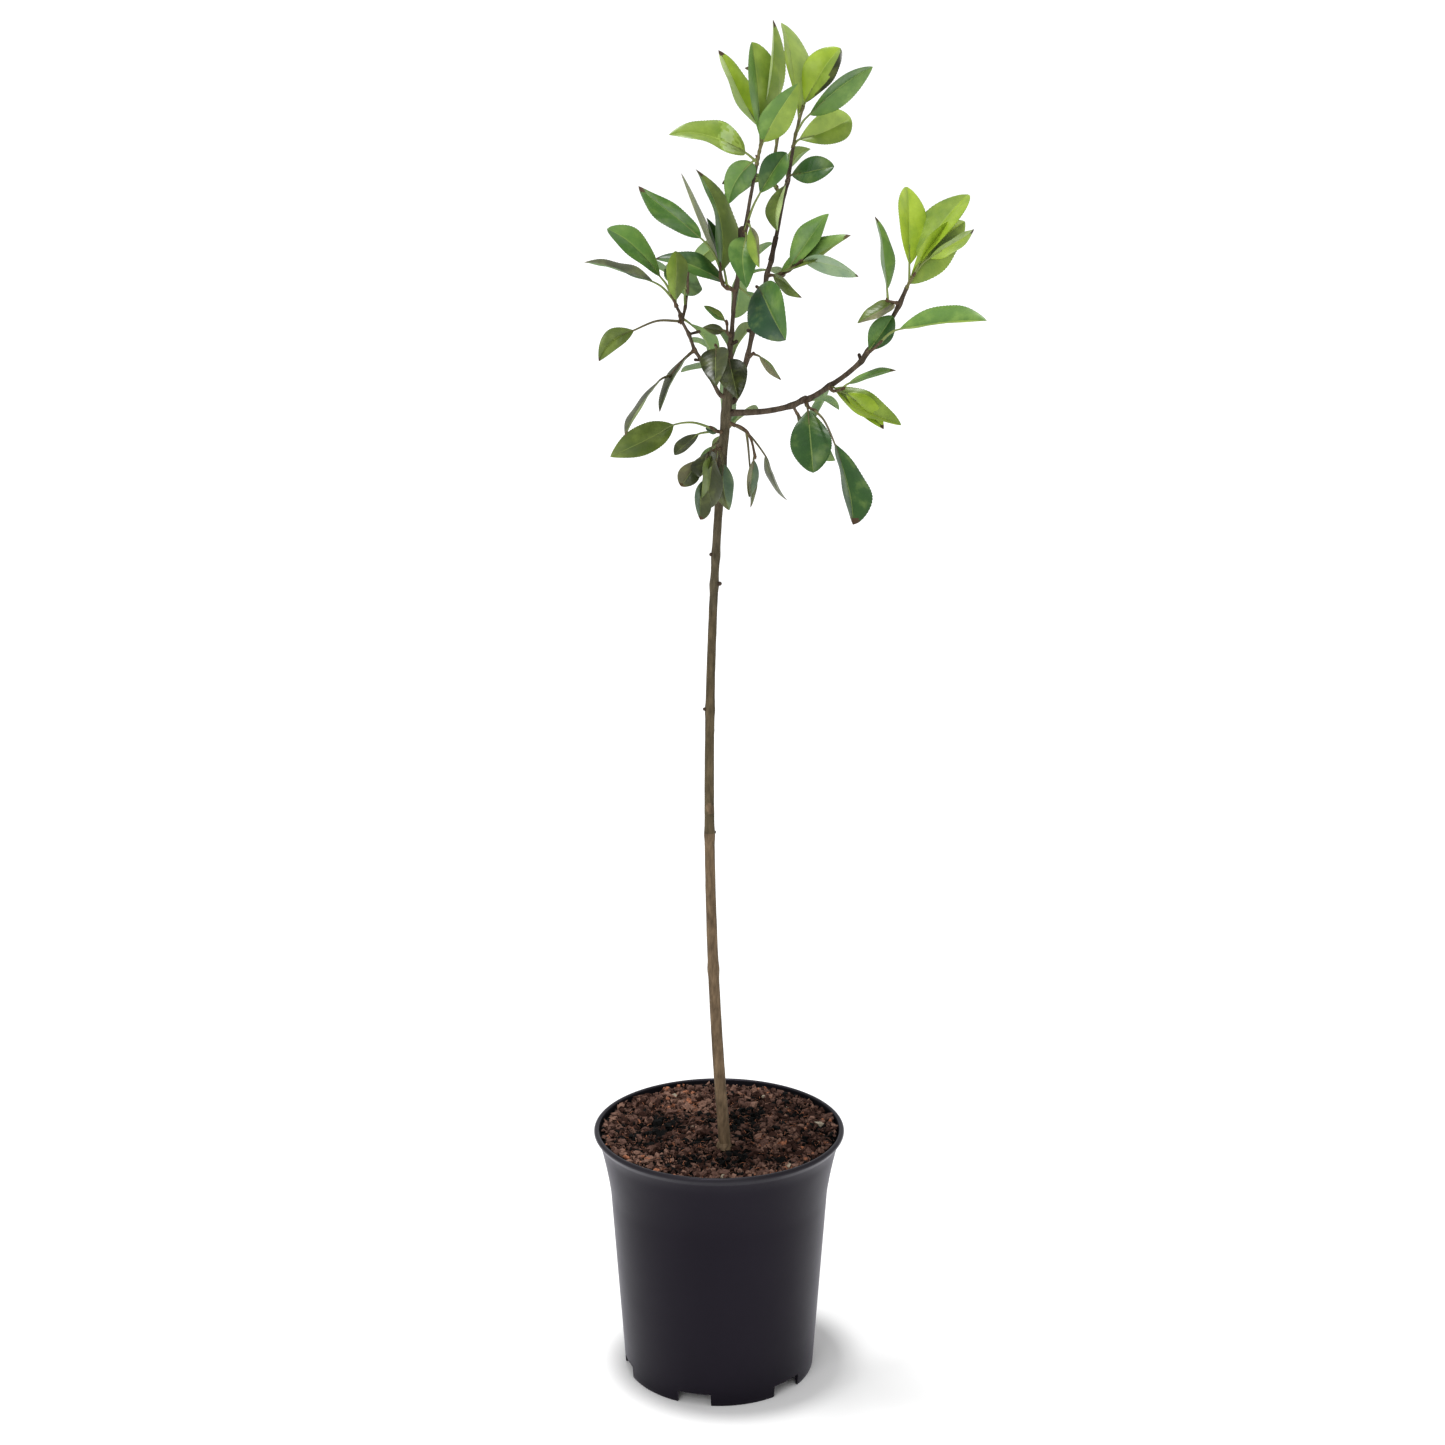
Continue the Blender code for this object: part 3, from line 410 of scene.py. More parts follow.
def grow_masses(limbs):
    twigs = {mass.name: twig_path(mass, limbs) for mass in MASSES}
    radii = tapered(TWIG_RADIUS, TWIG_TIP_RADIUS, TWIG_RINGS + 1)
    tubes = list(limbs.items()) + [(name, (path, radii)) for name, path in twigs.items()]
    taken = [(name, tube_shell(*limb, CLEARANCE / 2)) for name, limb in tubes]
    grown = []
    for mass in MASSES:
        leaves = grow_leaves(mass, twigs[mass.name], taken)
        for leaf, _ in leaves:
            taken += [(mass.name, blade_shell(leaf)), (mass.name, stalk_shell(leaf))]
        grown.append((mass, twigs[mass.name], leaves))
    return grown


# Materials. The colours are given as they show on the screen under this studio's light.

LIT = 1.30  # how much brighter a surface shows than its base colour
VEIL = 0.014  # what the gloss adds


def linear(value):
    """The light of a screen value of 0 to 255."""
    part = value / 255.0
    return part / 12.92 if part <= 0.04045 else ((part + 0.055) / 1.055) ** 2.4


def seen(*screen):
    """The base colour of a surface that shows as these screen values."""
    return tuple(max(0.003, (linear(value) - VEIL) / LIT) for value in screen)


def shaded(colour, amount):
    return tuple(min(1.0, part * amount) for part in colour)


def mixed(first, last, part):
    return tuple(a + (b - a) * part for a, b in zip(first, last))


def set_inputs(tree, node, inputs):
    """Sets each input to a value, or links it to another node's output. An underscore stands for a space."""
    for name, value in inputs.items():
        socket = node.inputs[name.replace("_", " ")]
        if isinstance(value, bpy.types.NodeSocket):
            tree.links.new(value, socket)
        else:
            socket.default_value = value


def add_node(tree, kind, **inputs):
    node = tree.nodes.new("ShaderNode" + kind)
    set_inputs(tree, node, inputs)
    return node


class Finish:
    """A material under construction, with its node tree and its Principled shader."""

    def __init__(self, name, roughness, specular):
        self.material = bpy.data.materials.new(name)
        self.material.use_nodes = True
        self.tree = self.material.node_tree
        self.place = add_node(self.tree, "TexCoord").outputs["Object"]
        self.shade(Roughness=roughness, Specular_IOR_Level=specular)

    def shade(self, **inputs):
        set_inputs(self.tree, self.tree.nodes["Principled BSDF"], inputs)

    def noise(self, scale, detail=3.0, roughness=0.5, stretch=None):
        place = self.place
        if stretch:
            place = add_node(self.tree, "Mapping", Vector=place, Scale=stretch).outputs["Vector"]
        node = add_node(self.tree, "TexNoise", Vector=place, Scale=scale, Detail=detail, Roughness=roughness)
        return node.outputs["Fac"]

    def colour(self, value, stops):
        """The base colour, which follows a value from stop to stop."""
        node = add_node(self.tree, "ValToRGB", Fac=value)
        elements = node.color_ramp.elements
        while len(elements) < len(stops):
            elements.new(0.5)
        for element, (place, colour) in zip(elements, stops):
            element.position = place
            element.color = (*colour, 1.0)
        self.shade(Base_Color=node.outputs["Color"])

    def rough(self, value, low, high):
        node = add_node(self.tree, "MapRange", Value=value, To_Min=low, To_Max=high)
        self.shade(Roughness=node.outputs["Result"])

    def bump(self, value, strength, distance):
        node = add_node(self.tree, "Bump", Height=value, Strength=strength, Distance=distance)
        self.shade(Normal=node.outputs["Normal"])


# The tints of the leaves, each under its letter in MASSES. A lighter and a darker tint on the two halves of
# one leaf paint its lit and its shaded side; w and v also paint the highlight near the base of some leaves.
TINTS = {
    "z": seen(192, 220, 76), "y": seen(166, 194, 64), "l": seen(144, 170, 72), "w": seen(200, 222, 146),
    "v": seen(174, 200, 98), "g": seen(116, 154, 78), "m": seen(90, 128, 64), "d": seen(64, 98, 52),
    "b": seen(54, 84, 58), "o": seen(106, 124, 60), "k": seen(84, 90, 62), "s": seen(98, 118, 92),
    "p": seen(160, 186, 144), "n": seen(126, 124, 92), "x": seen(56, 62, 34),
}
YOUNG_LIGHT = seen(205, 222, 120)
UNDERSIDE = seen(158, 176, 132)
TIP_BROWN = seen(88, 68, 50)


def leaf_finish(name, colour, roughness, variation, gloss=0.32):
    """Soft clouds of a bluer and a yellower tone, a fine grain and an uneven gloss."""
    finish = Finish(name, roughness, gloss)
    deep = shaded((colour[0] * 0.92, colour[1], colour[2] * 1.08), 1.0 - variation)
    light = shaded(mixed(colour, YOUNG_LIGHT, 0.12), 1.0 + variation)
    finish.colour(finish.noise(70.0, 5.0, 0.55), [(0.32, deep), (0.50, colour), (0.70, light)])
    finish.rough(finish.noise(240.0), roughness - 0.08, roughness + 0.10)
    finish.bump(finish.noise(1700.0, 2.0), 0.12, 0.0002)
    return finish.material


def leaf_materials():
    """Three materials for each tint: face, underside and rib. The brown tip has one."""
    table = {"tip": leaf_finish("leaf_tip", TIP_BROWN, 0.6, 0.1)}
    for key, colour in TINTS.items():
        under = mixed(colour, UNDERSIDE, 0.35)
        rib = mixed(colour, YOUNG_LIGHT, 0.26)
        table[key] = (leaf_finish(f"leaf_{key}", colour, 0.34, 0.16),
                      leaf_finish(f"leaf_{key}_under", under, 0.60, 0.08, 0.2),
                      leaf_finish(f"leaf_{key}_rib", rib, 0.42, 0.06))
    return table


def bark_finish(name, low, high, roughness=0.72):
    """Streaks along the wood, from a dark to a light tone, over a fine grain."""
    finish = Finish(name, roughness, 0.25)
    streaks = finish.noise(300.0, 6.0, 0.62, (1.0, 1.0, 0.25))
    finish.colour(streaks, [(0.30, low), (0.50, mixed(low, high, 0.5)), (0.68, high)])
    finish.bump(finish.noise(800.0, 5.0, 0.65, (1.0, 1.0, 0.5)), 0.6, 0.0006)
    return finish.material


# Mesh helpers

def placed(name, data):
    """A new object in the scene."""
    thing = bpy.data.objects.new(name, data)
    bpy.context.scene.collection.objects.link(thing)
    return thing


class Piece:
    """Points, faces and each face's material, gathered into one mesh."""

    def __init__(self, name):
        self.name = name
        self.points = []
        self.faces = []
        self.slots = []
        self.materials = []
        self.count = 0

    def slot(self, material):
        if material not in self.materials:
            self.materials.append(material)
        return self.materials.index(material)

    def add(self, points, faces, slots):
        """Adds faces, with one material slot for all of them or a list of slots."""
        self.points.append(np.asarray(points, float))
        self.faces.extend([tuple(self.count + i for i in face) for face in faces])
        self.slots.extend(slots if isinstance(slots, list) else [slots] * len(faces))
        self.count += len(points)

    def build(self, smooth=True):
        mesh = bpy.data.meshes.new(self.name)
        mesh.from_pydata(np.concatenate(self.points).tolist(), [], self.faces)
        for material in self.materials:
            mesh.materials.append(material)
        mesh.polygons.foreach_set("material_index", self.slots)
        mesh.polygons.foreach_set("use_smooth", [smooth] * len(mesh.polygons))
        mesh.update()
        return placed(self.name, mesh)


def ring_frames(path):
    """Each point of a path with two directions square to it, turned as little as may be."""
    path = [np.array(point, float) for point in path]
    frames = []
    side = None
    for index, point in enumerate(path):
        ahead = path[min(index + 1, len(path) - 1)] - path[max(index - 1, 0)]
        ahead /= np.linalg.norm(ahead)
        if side is None:
            side = np.cross(ahead, [0.0, 1.0, 0.1])
        side = side - ahead * side.dot(ahead)
        side /= np.linalg.norm(side)
        frames.append((point, side, np.cross(ahead, side)))
    return frames


def smooth_path(path, steps):
    """More points on the same path, by a Catmull-Rom curve."""
    points = [Vector(point) for point in path]
    points = [points[0] * 2 - points[1]] + points + [points[-1] * 2 - points[-2]]
    out = []
    for index in range(1, len(points) - 2):
        a, b, c, d = points[index - 1:index + 3]
        for step in range(steps):
            t = step / steps
            out.append(0.5 * (2 * b + (c - a) * t + (2 * a - 5 * b + 4 * c - d) * t * t
                              + (3 * b - a - 3 * c + d) * t ** 3))
    return out + [points[-2]]


def tube(piece, path, radii, sides, slots, relief=None):
    """A round tube with a radius at each point. The relief adds to the radius at each place.
    The slots are one material slot, or a function that gives one for a place."""
    points = []
    for (centre, side, other), radius in zip(ring_frames(path), radii):
        for corner in range(sides):
            angle = 2 * math.pi * corner / sides
            way = side * math.cos(angle) + other * math.sin(angle)
            extra = relief(centre + way * radius) if relief else 0.0
            points.append(centre + way * (radius + extra))
    faces = ring_faces(len(radii), sides)
    if not isinstance(slots, int):
        slots = [slots(points[face[0]]) for face in faces]
        slots += [slots[0], slots[-1]]
    faces.append(tuple(range(sides))[::-1])
    faces.append(tuple(len(points) - sides + corner for corner in range(sides)))
    piece.add(points, faces, slots)


def rounded_end(path, radii):
    """The path and its radii with a rounded end added."""
    way = (path[-1] - path[-2]).normalized()
    radius = radii[-1]
    parts = (0.3, 0.55, 0.75, 0.9, 0.98)
    more = [path[-1] + way * radius * part for part in parts]
    return list(path) + more, list(radii) + [radius * math.sqrt(1.0 - part * part) for part in parts]


# Leaves

BLADE_ROWS = 52
HALF_BLADE = (0.035, 0.11, 0.24, 0.40, 0.56, 0.72, 0.86, 0.96, 1.0)
BLADE_SIDES = (*(-side for side in HALF_BLADE[::-1]), 0.0, *HALF_BLADE)
BLADE_SKIN = 0.00016  # half the blade's thickness
VEINS = 9.0  # side veins in each half
VEIN_SWEEP = 0.20  # how far a vein leans towards the tip
QUILT = 0.00040  # rise between two veins
GROOVE = 0.00012  # depth of the groove over the midrib
KEEL = 0.00025  # how far the midrib stands out below
TEETH = 0.014
WAVES = 1.6
WAVE_DEPTH = (0.008, 0.024)
DROOP = (0.10, 0.45)
DROOP_START = 0.60
TIP_ROWS = (3.0, 7.0)  # how many rows a dark tip takes up
PAINTED_HIGHLIGHT_ROW = 12  # the row in the middle of a painted highlight


def blade_surface(leaf, phase, depth, hang):
    """The blade's middle surface, rows from base to tip, with its veins, waves and small teeth."""
    t = np.linspace(0.0, 1.0, BLADE_ROWS + 1)[:, None]
    s = np.array(BLADE_SIDES)[None, :]
    out = np.abs(s)
    swell = np.sin(np.pi * t)
    along, across, face = (np.array(v) for v in (leaf.along, leaf.across, leaf.face))
    arch = 4.0 * t * (1.0 - t) * leaf.length
    outline = np.array([leaf_outline(part, leaf.form) for part in t[:, 0]])[:, None]
    teeth = 1.0 + TEETH * np.where(np.arange(BLADE_ROWS + 1)[:, None] % 2 == 0, 1.0, -1.0)
    breadth = leaf.length * leaf.form.breadth / 2 * outline * teeth
    half = np.maximum(LEAF_BASE_HALF * (1.0 - t) + 0.0001, breadth)
    fold = math.radians(leaf.fold)
    rise = half * math.sin(fold) * (1.5 * out - 0.5 * out ** 2)
    turns = WAVES * t + phase + 0.2 * np.sign(s)
    wave = depth * leaf.length * np.sin(2 * np.pi * turns) * out ** 2 * swell
    droop = -hang * leaf.length * np.clip(t - DROOP_START, 0.0, 1.0) ** 2
    vein = VEINS * (t - VEIN_SWEEP * out) + 0.5 * (s > 0)
    ridge = np.abs(np.sin(np.pi * vein)) ** 0.6
    quilt = QUILT * ridge * np.clip(out * 4, 0, 1) * (1.0 - out ** 3) * swell
    groove = -GROOVE * np.exp(-(out / 0.05) ** 2) * swell ** 0.5
    lift = rise + wave + droop + quilt + groove + leaf.bow * arch
    return (np.array(leaf.base) + along * (leaf.length * t)[..., None]
            + across * (leaf.bend * arch + s * half * math.cos(fold))[..., None]
            + face * lift[..., None])


def settled_blade(leaf, chance, others):
    """The blade's surface, with less wave and droop where it would cut through another blade."""
    phase = chance.random()
    depth = chance.uniform(*WAVE_DEPTH)
    hang = chance.uniform(*DROOP)
    for part in (1.0, 0.5, 0.0):
        points = blade_surface(leaf, phase, depth * part, hang * part)
        tree = BVHTree.FromPolygons(points.reshape(-1, 3).tolist(), sheet_faces(*points.shape[:2]))
        if not any(tree.overlap(other) for other in others):
            break
    others.append(tree)
    return points


def surface_normals(points):
    normal = np.cross(np.gradient(points, axis=0), np.gradient(points, axis=1))
    return normal / np.maximum(np.linalg.norm(normal, axis=2, keepdims=True), 1e-12)


def right_first(leaf):
    """Whether the blade's positive half lies to the right from base to tip, seen from the front."""
    ahead, up = leaf.along.x, leaf.along.dot(FRONT_UP)
    return leaf.across.x * up - leaf.across.dot(FRONT_UP) * ahead > 0


def painted_highlight_key(key, row, column, out):
    """The tint of the painted highlight near the base of a leaf, in two steps with a soft outline."""
    cloud = 0.5 * noise.noise(Vector((row * 0.22, column * 0.6, 1.0)))
    gleam = 1.0 - abs(row - PAINTED_HIGHLIGHT_ROW) / PAINTED_HIGHLIGHT_ROW - 0.5 * abs(out - 0.35) + cloud
    return "w" if gleam > 0.62 else ("v" if gleam > 0.32 else key)


def blade_slots(piece, leaf, tint, materials, chance):
    """The material of each face of the two skins. A tint is the right half, the left half and a mark.
    Halves that differ paint the lit and the shaded side of the fold over the leaf's own tone.
    """
    middle = len(BLADE_SIDES) // 2
    tip_rows = chance.uniform(*TIP_ROWS)
    right = right_first(leaf)
    # the two half tints, which paint a lit and a shaded half where they differ
    plus, minus = (tint[0], tint[1]) if right else (tint[1], tint[0])
    mark = tint[2:]
    slots = []
    for skin in (0, 1):
        for row in range(BLADE_ROWS):
            for column in range(len(BLADE_SIDES) - 1):
                out = abs(BLADE_SIDES[column] + BLADE_SIDES[column + 1]) / 2
                key = plus if column >= middle else minus
                # w paints a highlight near the base of the leaf
                if mark == "w":
                    key = painted_highlight_key(key, row, column, out)
                if mark == "e" and (column >= middle) == right and out > 0.86 - 0.4 * row / BLADE_ROWS:
                    key = "x"
                kind = 2 if column in (middle - 1, middle) else skin
                tipped = mark == "t" and row >= BLADE_ROWS - tip_rows * (1.0 - 0.5 * out) - chance.random()
                slots.append(piece.slot(materials["tip"] if tipped else materials[key][kind]))
    return slots


def add_leaf(piece, leaf, tint, materials, chance, others):
    points = settled_blade(leaf, chance, others)
    normals = surface_normals(points)
    rows, columns = points.shape[:2]
    facing = 1.0 if normals[rows // 2, columns // 2].dot(np.array(leaf.face)) > 0 else -1.0
    out = np.abs(np.array(BLADE_SIDES))[None, :, None]
    t = np.linspace(0.0, 1.0, rows)[:, None, None]
    half = BLADE_SKIN * (1.0 - out ** 8) * np.clip(np.minimum(t, 1.0 - t) * 20, 0.1, 1.0)
    keel = KEEL * np.exp(-(out / 0.08) ** 2) * (1.0 - t)
    upper = (points + normals * facing * half).reshape(-1, 3)
    lower = (points - normals * facing * (half + keel)).reshape(-1, 3)
    top, bottom, edge = skin_faces(rows, columns)
    if facing < 0:
        top, bottom, edge = ([face[::-1] for face in faces] for faces in (top, bottom, edge))
    side = piece.slot(materials[tint[0]][1])
    slots = blade_slots(piece, leaf, tint, materials, chance) + [side] * len(edge)
    piece.add(np.concatenate([upper, lower]), top + bottom + edge, slots)


YOUNG = 0.4  # a mass below this age is young
OLD = 0.78  # and from this age on it is old


def kind_of(mass):
    return "young" if mass.age < YOUNG else ("grown" if mass.age < OLD else "old")


SLOT_OF_KIND = {"young": "young_leaves", "grown": "leaves", "old": "old_leaves"}


def make_leaves(grown):
    materials = leaf_materials()
    pieces = {kind: Piece(f"leaves_{kind}") for kind in SLOT_OF_KIND}
    others = []
    for mass, _, leaves in grown:
        chance = random.Random(mass.seed + 1)
        for leaf, tint in leaves:
            add_leaf(pieces[kind_of(mass)], leaf, tint, materials, chance, others)
    for kind, piece in pieces.items():
        thing = piece.build()
        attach(thing, "root")
        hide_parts(*[mass.name for mass, _, _ in grown if kind_of(mass) == kind])


# Twigs and stalks

def bark_relief(place):
    """Fine wrinkles and lenticels."""
    spot = Vector(place) * 260.0
    spot.z *= 0.35
    pores = noise.noise(Vector(place) * 700.0)
    return 0.00014 * noise.fractal(spot, 1.0, 2.0, 4) + 0.0004 * max(0.0, pores - 0.45)


def swollen(radii, nodes, amount, width):
    """Radii that swell at the nodes, given as places from 0 to 1."""
    out = []
    for index, radius in enumerate(radii):
        t = index / (len(radii) - 1)
        bulge = sum(math.exp(-((t - place) / width) ** 2) for place in nodes)
        out.append(radius + amount * min(1.0, bulge))
    return out


def zigzag(path, nodes, amount):
    """The path with a slight bend at each node, to one side and the other by turns."""
    turns = [0.0] + list(nodes) + [1.0]
    swings = [0.0] + [amount if index % 2 else -amount for index in range(len(nodes))] + [0.0]
    last = len(path) - 1
    return [Vector(centre + side * np.interp(index / last, turns, swings))
            for index, (centre, side, _) in enumerate(ring_frames(path))]


def add_bud(piece, place, way, size, slot):
    """A small pointed bud of a given length and radius."""
    length, radius = size
    way = Vector(way).normalized()
    path = [Vector(place) + way * length * t for t in (0.0, 0.2, 0.45, 0.7, 0.9, 1.0)]
    radii = [radius * part for part in (0.75, 1.0, 0.95, 0.6, 0.25, 0.05)]
    tube(piece, path, radii, 8, slot)


TWIG_STEPS = 8  # points that each step of a twig's path becomes
STALK_STEPS = 7
TWIG_NODE_SWELL = 0.0004
TWIG_NODE_LONG = 0.045  # the part of the twig that a swelling takes up
TWIG_FOOT_SWELL = 0.0006
TWIG_BUD = (0.004, 0.0013)  # length and radius
LEAF_BUD = (0.0035, 0.0011)
LEAF_BUD_SHARE = 0.8  # the share of the leaves that have a bud
BROWN_STALK_AGE = 0.75


def add_twig(piece, mass, path, limbs, bark, bud):
    """A twig from inside its limb to the bud at its tip, with a swollen foot and a swelling at each leaf."""
    inside, _ = point_along(limbs[mass.limb][0], mass.place)
    fine = smooth_path([inside] + path[1:], TWIG_STEPS)
    plain = tapered(TWIG_RADIUS, TWIG_TIP_RADIUS, len(fine))
    radii = swollen(plain, leaf_places(len(mass.leaves)), TWIG_NODE_SWELL, TWIG_NODE_LONG)
    for step in range(TWIG_STEPS):
        radii[step] += TWIG_FOOT_SWELL * (1.0 - step / TWIG_STEPS)
    tube(piece, fine, radii, 10, piece.slot(bark), bark_relief)
    add_bud(piece, path[-1], path[-1] - path[-2], TWIG_BUD, piece.slot(bud))


def add_stalk(piece, leaf, material):
    """A leaf's stalk, thinner towards the blade."""
    fine = smooth_path(leaf.stalk, STALK_STEPS)
    radii = tapered(1.25 * PETIOLE_RADIUS, 0.60 * PETIOLE_RADIUS, len(fine))
    tube(piece, fine, radii, 8, piece.slot(material))


def make_twigs(grown, limbs):
    """The twigs with their buds, and the stalks of the leaves."""
    brown = bark_finish("twig_bark", seen(70, 56, 46), seen(124, 104, 84))
    green = bark_finish("green_bark", seen(96, 92, 62), seen(138, 132, 88), 0.6)
    bud = bark_finish("bud", seen(66, 50, 42), seen(116, 90, 70), 0.6)
    stalk_green = leaf_finish("stalk_green", seen(134, 148, 84), 0.5, 0.1)
    stalk_brown = leaf_finish("stalk_brown", seen(104, 96, 70), 0.5, 0.1)
    twigs = Piece("twigs")
    stalks = Piece("leaf_stalks")
    for mass, path, leaves in grown:
        chance = random.Random(mass.seed + 2)
        add_twig(twigs, mass, path, limbs, green if mass.age < YOUNG else brown, bud)
        tip_way = (path[-1] - path[-2]).normalized()
        for leaf, _ in leaves:
            add_stalk(stalks, leaf, stalk_brown if mass.age > BROWN_STALK_AGE else stalk_green)
            way = (leaf.stalk[1] - leaf.stalk[0]).normalized() + tip_way * 1.2
            if chance.random() < LEAF_BUD_SHARE:
                add_bud(twigs, leaf.stalk[0], way, LEAF_BUD, twigs.slot(bud))
    for piece, slot in ((twigs, "bark"), (stalks, "leaves")):
        thing = piece.build()
        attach(thing, "root")


# Trunk and boughs

# Short pruned stubs, old buds and spurs: limb, place, way, length and radius
SPURS = [
    ("leader_left", 0.70, (0.05, -0.05, 1.0), 0.016, 0.0034),
    ("leader_right", 0.60, (0.22, -0.20, 1.0), 0.022, 0.0021),
    ("bough_right", 0.42, (0.25, -0.30, -1.0), 0.006, 0.0018),
    ("bough_right", 0.70, (-0.3, -0.2, 1.0), 0.005, 0.0014),
    ("bough_left", 0.75, (0.9, -0.3, 0.25), 0.011, 0.0012),
    ("bough_left", 0.50, (-1.0, -0.2, 0.1), 0.005, 0.0012),
    ("leader_left", 0.30, (0.8, -0.5, 0.5), 0.007, 0.0015),
    ("leader_right", 0.35, (-0.8, -0.5, 0.4), 0.006, 0.0014),
    ("trunk", 0.965, (1.0, -0.4, 0.5), 0.007, 0.0018),
    ("trunk", 0.90, (-1.0, -0.5, 0.5), 0.008, 0.0015),
    ("trunk", 0.795, (-1.0, -0.4, 0.4), 0.0052, 0.0015),
    ("trunk", 0.760, (1.0, -0.5, 0.3), 0.0060, 0.0018),
    ("trunk", 0.605, (-1.0, -0.4, 0.4), 0.0062, 0.0014),
    ("trunk", 0.45, (1.0, 0.6, 0.4), 0.0058, 0.0015),
    ("trunk", 0.28, (-0.6, 1.0, 0.4), 0.0062, 0.0015),
    ("bough_back", 0.55, (0.8, 0.3, 0.5), 0.006, 0.0013),
]
TRUNK_STEPS = 20  # points that each step of the trunk's path becomes
LIMB_STEPS = 14
NODE_SWELL = 0.0006
TRUNK_NODE_LONG = 0.008  # the part of the trunk that a swelling takes up
LIMB_NODE_LONG = 0.02
LIMB_BEND = 0.0007  # how far a limb bends at each node
LIMB_FOOT_SWELL = 0.5
LIMB_FOOT_STEPS = 12.0
TAN_HEIGHT = 0.34  # the trunk's tones change in steps above this height
TONE_STEP = 0.18
TONE_RAGGED = 0.07


def limb_radii(path, radii, steps):
    """Radii for a path that smooth_path has made finer."""
    exact = np.arange(len(path)) / steps
    return list(np.interp(exact, range(len(radii)), radii))


def trunk_tone(slots):
    """Tan wood low down and grey-brown above, with a ragged change between them."""
    def choose(place):
        ragged = place[2] + TONE_RAGGED * noise.noise(Vector(place) * 45.0)
        return slots[min(len(slots) - 1, max(0, int((ragged - TAN_HEIGHT) / TONE_STEP)))]
    return choose


def add_spurs(piece, slot, limbs):
    for name, place, way, length, radius in SPURS:
        start, _ = point_along(limbs[name][0], place)
        way = Vector(way).normalized()
        path = [start + way * length * t for t in (0.0, 0.3, 0.6, 0.85)]
        path, radii = rounded_end(path, [radius * size for size in (1.1, 0.9, 1.0, 1.05)])
        tube(piece, path, radii, 12, slot, bark_relief)


def make_trunk(limbs):
    tones = [bark_finish("trunk_low_bark", seen(86, 72, 56), seen(142, 120, 94)),
             bark_finish("trunk_mid_bark", seen(70, 62, 46), seen(116, 102, 78)),
             bark_finish("trunk_high_bark", seen(68, 62, 48), seen(112, 102, 82))]
    trunk = Piece("trunk_bark_mesh")
    path, radii = limbs["trunk"]
    fine = smooth_path(path, TRUNK_STEPS)
    nodes = [place for name, place, *_ in SPURS if name == "trunk"]
    wide = swollen(limb_radii(fine, radii, TRUNK_STEPS), nodes, NODE_SWELL, TRUNK_NODE_LONG)
    fine, wide = rounded_end(fine, wide)
    tube(trunk, fine, wide, 32, trunk_tone([trunk.slot(tone) for tone in tones]), bark_relief)
    thing = trunk.build()
    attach(thing, "root")
    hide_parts("trunk")


def make_boughs(limbs):
    """The limbs, bent a little at each node and wider at the foot, and the spurs of limbs and trunk."""
    bark = bark_finish("bough_bark", seen(58, 50, 42), seen(108, 94, 80))
    spur_bark = bark_finish("spur_bark", seen(46, 38, 34), seen(88, 74, 62))
    boughs = Piece("boughs_bark_mesh")
    for limb in LIMBS:
        path, radii = limbs[limb.name]
        start, _ = point_along(limbs[limb.parent][0], limb.place)
        nodes = sorted(place for name, place, *_ in SPURS if name == limb.name)
        nodes += sorted(mass.place for mass in MASSES if mass.limb == limb.name and mass.place < 1.0)
        fine = zigzag(smooth_path([start] + path[1:], LIMB_STEPS), sorted(nodes), LIMB_BEND)
        wide = swollen(limb_radii(fine, radii, LIMB_STEPS), nodes, NODE_SWELL, LIMB_NODE_LONG)
        for step, radius in enumerate(wide):
            wide[step] = radius * (1.0 + LIMB_FOOT_SWELL * math.exp(-(step / LIMB_FOOT_STEPS) ** 2))
        fine, wide = rounded_end(fine, wide)
        tube(boughs, fine, wide, 22, boughs.slot(bark), bark_relief)
    add_spurs(boughs, boughs.slot(spur_bark), limbs)
    thing = boughs.build()
    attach(thing, "root")
    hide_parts(*[limb.name for limb in LIMBS])


# Pot

WALL_POINTS = 24
COLLAR_POINTS = 18
LIP_STEPS = 8
POT_STEPS = 144


def collar_flare(z):
    rise = max(0.0, z - COLLAR_FOOT) / (POT_HEIGHT - COLLAR_FOOT)
    return (RIM_RADIUS - LIP_WIDTH + WALL - BODY_TOP_RADIUS) * rise ** COLLAR_CURVE


def wall_radius(z):
    body = FOOT_RADIUS + (BODY_TOP_RADIUS - FOOT_RADIUS) * min(1.0, z / COLLAR_FOOT)
    return body + collar_flare(z)


def arc(centre, height, radius, first, last, steps):
    turns = [math.radians(first + (last - first) * step / steps) for step in range(steps + 1)]
    return [(centre + radius * math.cos(turn), height + radius * math.sin(turn)) for turn in turns]


